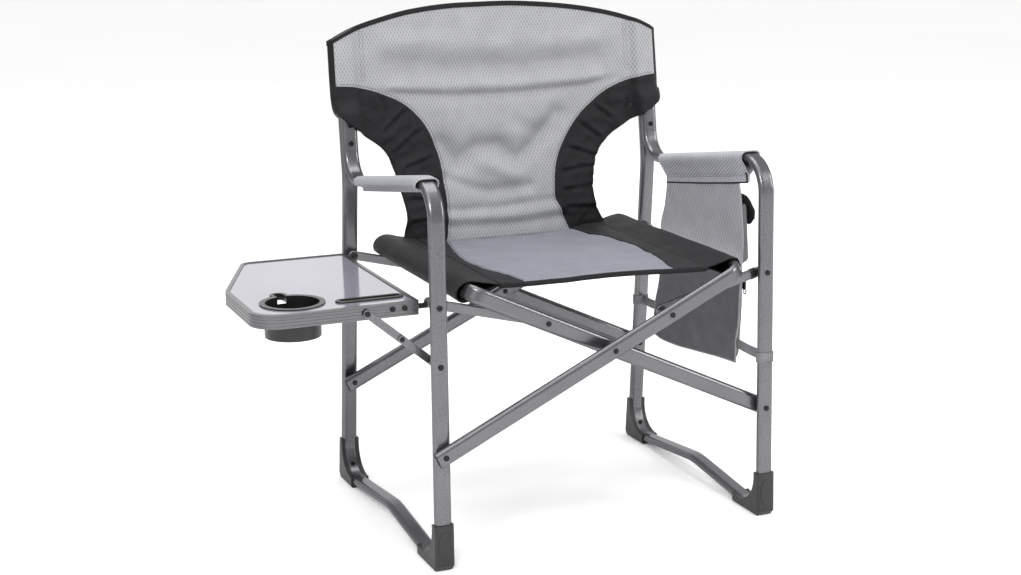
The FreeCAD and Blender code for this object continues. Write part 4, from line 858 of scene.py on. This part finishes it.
# Radius of the front bend of the armrest tube, in metres.
ARM_BEND_RADIUS = 0.056
ARM_NORMAL = Vector((0.0, ARM_SLOPE, 1.0)).normalized()
ARM_FORWARD = Vector((0.0, -1.0, ARM_SLOPE)).normalized()


def arm_loop(drop, hem):
    """Half of the sleeve's section, (sideways, down) from the tube's centre, top to hem."""
    return [(0.0, -9.4), (6.0, -9.4), (11.5, -8.6), (15.6, -5.0), (16.8, 0.0), (15.6, 5.2),
            (mix(15.6, 2.0, 0.45), mix(5.2, drop, 0.42)), (3.6, drop - 3.0), (1.7, drop),
            (1.5, drop + hem * 0.5), (1.4, drop + hem)]


def arm_station(y, swing):
    """Centre and up direction of the armrest tube; swing is the angle past the start of the front bend."""
    if swing <= 0.0:
        return place(0.0, y, arm_line(y)), ARM_NORMAL
    start = place(0.0, ARM_BEND_Y, arm_line(ARM_BEND_Y))
    centre = start + ARM_FORWARD * (ARM_BEND_RADIUS * math.sin(swing))
    centre -= ARM_NORMAL * (ARM_BEND_RADIUS * (1.0 - math.cos(swing)))
    return centre, ARM_NORMAL * math.cos(swing) + ARM_FORWARD * math.sin(swing)


def arm_sleeve(side, drop, hem, swing, material):
    """Teardrop sleeve over the armrest tube with a sewn hem under it."""
    stations = [(ARM_BEND_Y, swing * (1.0 - i / 12.0)) for i in range(12)]
    stations += [(mix(ARM_BEND_Y, ARM_REAR_Y, i / 80.0), 0.0) for i in range(81)]
    rows = len(stations)
    half = curve_through(arm_loop(drop, hem), 40)
    section = [(-a, b) for a, b in reversed(half)] + half[1:]
    columns = len(section)
    vertices, uvs = [], []
    for r, (y, turn) in enumerate(stations):
        t = r / (rows - 1)
        centre, up = arm_station(y, turn)
        along = y / 1000.0 - turn * ARM_BEND_RADIUS
        open_end = 1.0 + 0.16 * smooth(turn, 0.0, 0.45)
        bow = 1.5 * math.sin(math.pi * t)
        around = 0.0
        for k, (a, down) in enumerate(section):
            if k:
                around += math.hypot(a - section[k - 1][0], down - section[k - 1][1])
            puff = 0.7 * ripple(around * 0.8, along * 500.0, 22.0, 2.5 + side) * smooth(down, -2.0, 12.0)
            grow = (1.0 + puff / max(abs(a), 6.0)) * open_end
            wave = 0.8 * ripple(3.0, along * 1000.0, 45.0, 11.0 + side) * smooth(down, 10.0, 30.0)
            slack = bow * smooth(down, 12.0, 30.0)
            down = down * (open_end if down < 0.0 else 1.0) + slack
            sideways = Vector(((side * POST_X + a * grow + wave) / 1000.0, 0.0, 0.0))
            point = centre + sideways - up * (down / 1000.0)
            vertices.append(point)
            uvs.append((around / 1000.0, along))
    faces = [tuple(reversed(face)) for face in grid_faces(rows, columns)]
    word = side_word(side)
    body = word + "_frame"
    piece = new_piece("arm_cloth_" + word, vertices, faces, uvs, material, body)
    thicken(piece, 1.2)
    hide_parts(word + "_arm_sleeve")
    edge = [Vector(v) for v in vertices[9:columns - 9]]
    tube_along("arm_edge_" + word, edge, 1.3, PIPING, body, 1.0, Vector((0.0, 1.0, 0.1)), 8)
    if side > 0.0:
        low = [Vector(vertices[r * columns]) for r in range(12, rows)]
        tube_along("arm_hem_line", low, 1.4, BINDING, body, 0.8, UP, 8)
        front = [Vector(vertices[12 * columns + k]) for k in range(0, 11)]
        tube_along("arm_hem_binding", front, 2.2, BINDING, body, 0.8, BACKWARD, 8)
    for k, depth in enumerate((1.5, -2.5)):
        line = []
        for i in range(60):
            y = mix(ARM_BEND_Y + 3.0, ARM_REAR_Y - 3.0, i / 59.0)
            t = i / 59.0
            down = drop + depth + 1.5 * math.sin(math.pi * t)
            line.append(place(side * POST_X - side * 2.9, y, arm_line(y)) - ARM_NORMAL * (down / 1000.0))
        stitches(f"arm_stitch_{word}_{k}", line, PALE_THREAD, body, 3.2, 1.5, 0.35)
    return piece


# ---------------- organiser

POUCH_X = POST_X
# Share of the organiser's height at which its dark lower cloth meets the pale upper one.
POUCH_SEAM = 0.522
POUCH_LOW = 240.0
POUCH_HIGH = 575.0
# The pale upper cloth starts just below the seam, so that the two overlap.
POUCH_UPPER_START = 0.52
POUCH_FRONT = [(240, -134), (282, -137), (308, -143), (411, -148), (467, -152), (542, -143), (575, -130)]
POUCH_REAR = [(240, 176), (260, 173), (313, 162), (359, 149), (411, 142), (474, 145), (519, 127), (575, 118)]


def pouch_edges(z):
    """Front and rear edge of the organiser at a height."""
    return along_curve(POUCH_FRONT, z)[0], along_curve(POUCH_REAR, z)[0]


def pouch_bottom(y):
    return 245.0 - 23.0 * smooth(y, -150.0, 130.0) + 4.0 * smooth(y, 140.0, 178.0)


def pouch_top(y):
    return arm_line(y) - 31.0


def pouch_wave(y, z):
    low = 1.0 - smooth(z, 430.0, 560.0)
    wave = 2.6 * ripple(y * 0.8, z * 0.5, 70.0, 3.3) + 1.2 * ripple(y, z, 30.0, 6.6)
    return wave * mix(0.35, 1.0, low)


def pouch_rim(edge, share):
    """Point (y, z) on the front edge (0) or rear edge (1), at a share of the height."""
    y = pouch_edges(mix(POUCH_LOW, POUCH_HIGH, share))[edge]
    return y, mix(pouch_bottom(y), pouch_top(y), share)


def pouch_surface(z_from, z_to, inset):
    """Flat cloth of the organiser between two shares of its height."""
    def surface(r, c):
        share = mix(z_from, z_to, r)
        front, rear = pouch_edges(mix(POUCH_LOW, POUCH_HIGH, share))
        y = mix(front + inset, rear - inset, c)
        z = mix(pouch_bottom(y), pouch_top(y), share)
        return place(POUCH_X + pouch_wave(y, z), y, z), SIDEWAYS, (y / 1000.0, z / 1000.0), 1.0
    return surface


def puffed_pocket(name, spans, profile, material, seed):
    """Pocket on the outer side: full in the middle, rounded to its sewn sides."""
    low, high = profile[0][0], profile[-1][0]
    base = POUCH_X + 1.6

    def surface(r, c):
        y = mix(spans[0], spans[1], c)
        z = mix(low, high, r)
        rim = min(y - spans[0], spans[1] - y)
        side = math.sqrt(max(1.0 - (1.0 - min(rim / 11.0, 1.0)) ** 2, 0.0))
        depth = max(along_curve(profile, z)[0], 0.0) * side
        depth += (1.3 * ripple(y, z * 0.7, 34.0, seed) + 0.6 * ripple(y, z, 14.0, seed + 2.0)) * side
        half = max(depth, 0.4) / 2.0
        return place(base + half, y, z), SIDEWAYS, (y / 1000.0, z / 1000.0), half

    return cloth_shell(name, surface, 60, 110, 2.0, material, "right_frame")


def strap_loop(name, post_y, z, tongue_to, body, replaced):
    """Webbing round a post, drawn to the organiser."""
    cut = 17.0
    rows = 60
    points = []
    for i in range(rows):
        angle = 2.0 * math.pi * i / (rows - 1)
        points.append((POST_X + 15.6 * math.copysign(abs(math.cos(angle)) ** 0.55, math.cos(angle)),
                       post_y + 8.6 * math.copysign(abs(math.sin(angle)) ** 0.8, math.sin(angle))))
    vertices, uvs = [], []
    length = 0.0
    for i, (x, y) in enumerate(points):
        if i:
            length += math.hypot(x - points[i - 1][0], y - points[i - 1][1])
        for k, height in enumerate((-cut / 2.0, cut / 2.0)):
            vertices.append(place(x, y, z + height))
            uvs.append((length / 1000.0, height / 1000.0))
    piece = new_piece(name, vertices, grid_faces(rows, 2), uvs, STRAP, body)
    thicken(piece, 1.5)
    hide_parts(replaced)
    near = post_y + math.copysign(8.0, tongue_to - post_y)
    rows = 24
    vertices, uvs = [], []
    for i in range(rows):
        t = i / (rows - 1)
        x = mix(296.4, 297.2, t) + 1.2 * math.sin(math.pi * t)
        for k in range(5):
            height = mix(-cut / 2.0, cut / 2.0, k / 4.0)
            vertices.append(place(x, mix(near, tongue_to, t), z + height - 2.0 * math.sin(math.pi * t)))
            uvs.append((t * abs(tongue_to - near) / 1000.0, height / 1000.0))
    tongue = new_piece(name + "_tongue", vertices, grid_faces(rows, 5), uvs, STRAP, body)
    thicken(tongue, 1.5)
    return piece


def build_pouch():
    body = "right_frame"
    upper = cloth_shell("pouch_upper", pouch_surface(POUCH_UPPER_START, 1.0, 1.5), 60, 90, 1.8,
                        POUCH_CLOTH, body)
    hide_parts("pouch_panel")
    cloth_shell("pouch_lower", pouch_surface(0.0, POUCH_SEAM, 1.5), 90, 90, 2.0, POUCH_DARK, body)
    shares = [i / 59.0 for i in range(60)]
    rim = [pouch_rim(0, 1.0 - share) for share in shares]
    bottom = [mix(*pouch_edges(POUCH_LOW), share) for share in shares[1:]]
    rim += [(y, pouch_bottom(y)) for y in bottom]
    rim += [pouch_rim(1, share) for share in shares[1:]]
    line = [place(POUCH_X + pouch_wave(y, z), y, z) for y, z in rim]
    tube_along("pouch_piping", line, 1.7, PIPING, body, 1.0, SIDEWAYS)
    seam = []
    front, rear = pouch_edges(414.0)
    for i in range(80):
        y = mix(front + 2.0, rear - 2.0, i / 79.0)
        z = mix(pouch_bottom(y), pouch_top(y), POUCH_SEAM)
        seam.append(place(POUCH_X + pouch_wave(y, z) - 1.3, y, z + 2.0))
    stitches("pouch_seam", seam, PALE_THREAD, body, 3.4, 1.6, 0.4)
    profile = [(424, 4), (428, 15.5), (434, 18), (470, 16), (524, 11.5), (528, 9)]
    pocket = puffed_pocket("upper_pouch_pocket", (-149.0, 127.0), profile, POUCH_DARK, 1.0)
    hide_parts("upper_pocket")
    profile = [(256, 3), (262, 7), (320, 12.5), (378, 14.2), (398, 13.5), (405, 5)]
    lower = puffed_pocket("lower_pouch_pocket", (-137.0, 135.0), profile, POUCH_DARK, 7.0)
    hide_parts("lower_pocket")
    flap_profile = [(0, 0.8, 545.0), (1, 8.0, 540.0), (2, 15.5, 529.0), (3, 21.5, 512.0), (4, 22.0, 490.0)]

    def flap(r, c):
        depth, z = along_curve(flap_profile, r * 4.0)
        y = mix(-149.5, 126.0, c)
        end = min(y + 149.5, 126.0 - y)
        lift = 11.0 * (1.0 - smooth(end, 0.0, 14.0)) * smooth(r, 0.55, 1.0)
        depth += 0.9 * ripple(y, z, 26.0, 4.0)
        point = place(POUCH_X + 1.9 + depth, y, z + lift)
        outward = Vector((mix(0.2, 1.0, r), 0.0, mix(1.0, 0.1, r))).normalized()
        return point, outward, (y / 1000.0, r * 0.05), 1.0

    cover = cloth_shell("pouch_flap", flap, 30, 90, 4.0, BINDING, body)
    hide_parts("pocket_flap")
    tape = [place(POUCH_X + 1.6 + 14.6, mix(-130.0, 128.0, i / 50.0), 393.0) for i in range(51)]
    tube_along("zip_tape", tape, 5.0, BINDING, body, 0.16)
    strap_loop("front_strap", -232.3, 280.0, -136.0, body, "front_pouch_strap")
    strap_loop("rear_strap", 226.8, 280.0, 166.0, body, "rear_pouch_strap")


# ---------------- link end sleeves

def link_end_sleeve(word, y):
    """Black plastic sleeve round a right-hand link, beside the post."""
    towards = Vector((191.1, 0.0, 48.2)).normalized()
    pivot = Vector((POST_X, y, 426.5))
    points = [place(*(pivot - towards * distance)) for distance in (22.0, 21.4, 20.0, 17.0, 14.0, 11.6, 11.0)]
    up = Vector((-towards.z, 0.0, towards.x))
    tube_along("link_sleeve_" + word, points, 9.6, BLACK_PLASTIC, "right_links", 0.56, up, 24)


# ---------------- zip pull

def zip_pull_sleeve():
    """Black moulded grip over the zip slider's tab."""
    points = [place(312.5, -130.0, z) for z in (374.5, 375.0, 377.0, 384.0, 387.5, 388.0)]
    tube_along("zip_pull_grip", points, 5.4, BLACK_PLASTIC, "zip_slider", 0.52, BACKWARD, 16)


# ---------------- build everything

back_pieces = build_backrest()
rail_anchor = place(-POST_X, 0.0, 0.0)
# When folded, the posts stand at 0.286 of their distance apart at rest.
for piece in back_pieces:
    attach(piece, "left_frame")
    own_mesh(piece)
seat_pieces = build_seat()
for piece in seat_pieces:
    tuple(place(-235.3, 0.0, 440.3))
    tuple(place(235.3, 0.0, 440.3))
    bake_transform(piece)
# The left sleeve gets the darker twill copy, which is painted shade.
arm_sleeve(-1.0, 12.5, 4.5, 0.46, LEFT_ARM_SHADED_TWILL)
arm_sleeve(1.0, 31.0, 13.0, 0.22, ARM_CLOTH)
build_pouch()
link_end_sleeve("front", -214.0)
link_end_sleeve("rear", 196.3)
zip_pull_sleeve()


# ---------------- floor, light and camera

def stage_floor():
    """White floor with a faint glow of its own."""
    mesh = bpy.data.meshes.new("floor")
    mesh.from_pydata([(-60, -60, 0), (60, -60, 0), (60, 60, 0), (-60, 60, 0)], [], [(0, 1, 2, 3)])
    look = Look("floor_look", roughness=0.9, Emission_Color=(1.0, 1.0, 1.0, 1.0), Emission_Strength=0.09)
    cloud = look.noise(0.7, 2.0)
    look.colour(cloud, [(0.3, 0.94), (0.7, 0.96)])
    mesh.materials.append(look.material)
    floor = bpy.data.objects.new("floor", mesh)
    bpy.context.scene.collection.objects.link(floor)


def area_light(name, location, target, size, power):
    data = bpy.data.lights.new(name, "AREA")
    data.shape = "RECTANGLE"
    data.size, data.size_y = size
    data.energy = power
    lamp = bpy.data.objects.new(name, data)
    lamp.location = location
    lamp.rotation_euler = (Vector(target) - Vector(location)).to_track_quat("-Z", "Y").to_euler()
    # The lamps give light and reflections, and are not seen themselves.
    lamp.visible_camera = False
    bpy.context.scene.collection.objects.link(lamp)


def studio():
    world = bpy.data.worlds.new("studio")
    bpy.context.scene.world = world
    world.use_nodes = True
    background = world.node_tree.nodes["Background"]
    background.inputs["Color"].default_value = (1.0, 1.0, 1.0, 1.0)
    # The backdrop is brighter where the camera sees it than it is as a light on the chair.
    seen = world.node_tree.nodes.new("ShaderNodeLightPath")
    strength = world.node_tree.nodes.new("ShaderNodeMapRange")
    strength.inputs["To Min"].default_value = 0.58
    strength.inputs["To Max"].default_value = 1.0
    world.node_tree.links.new(seen.outputs["Is Camera Ray"], strength.inputs["Value"])
    world.node_tree.links.new(strength.outputs["Result"], background.inputs["Strength"])
    area_light("key", (-2.0, -2.6, 2.7), (0.1, 0.0, 0.35), (1.3, 1.3), 88.0)
    area_light("fill", (2.7, -1.9, 1.8), (0.1, 0.0, 0.45), (0.9, 2.0), 56.0)
    area_light("top", (0.2, 0.5, 3.1), (0.1, 0.0, 0.4), (2.2, 1.6), 40.0)
    area_light("behind", (0.9, 3.4, 1.2), (0.1, 0.0, 0.3), (4.6, 2.0), 24.0)
    data = bpy.data.lights.new("even", "SUN")
    data.energy = 1.15
    data.angle = math.radians(60.0)
    lamp = bpy.data.objects.new("even", data)
    lamp.rotation_euler = Vector((0.3, 0.5, -1.6)).to_track_quat("-Z", "Y").to_euler()
    bpy.context.scene.collection.objects.link(lamp)
    bpy.context.scene.view_settings.view_transform = "Standard"


def camera():
    azimuth, elevation, roll = (math.radians(a) for a in (-24.32, 10.19, -0.17))
    back = Vector((math.sin(azimuth) * math.cos(elevation), -math.cos(azimuth) * math.cos(elevation),
                   math.sin(elevation)))
    level = Vector((math.cos(azimuth), math.sin(azimuth), 0.0))
    up = back.cross(level)
    right = level * math.cos(roll) + up * math.sin(roll)
    top = up * math.cos(roll) - level * math.sin(roll)
    data = bpy.data.cameras.new("camera")
    data.lens = 61.03
    data.shift_x = -0.0387
    data.shift_y = -0.0916
    eye = bpy.data.objects.new("camera", data)
    matrix = Matrix((right, top, back)).transposed().to_4x4()
    matrix.translation = place(-1209.7, -2676.6, 1073.47)
    eye.matrix_world = matrix
    bpy.context.scene.collection.objects.link(eye)
    bpy.context.scene.camera = eye


stage_floor()
studio()
camera()
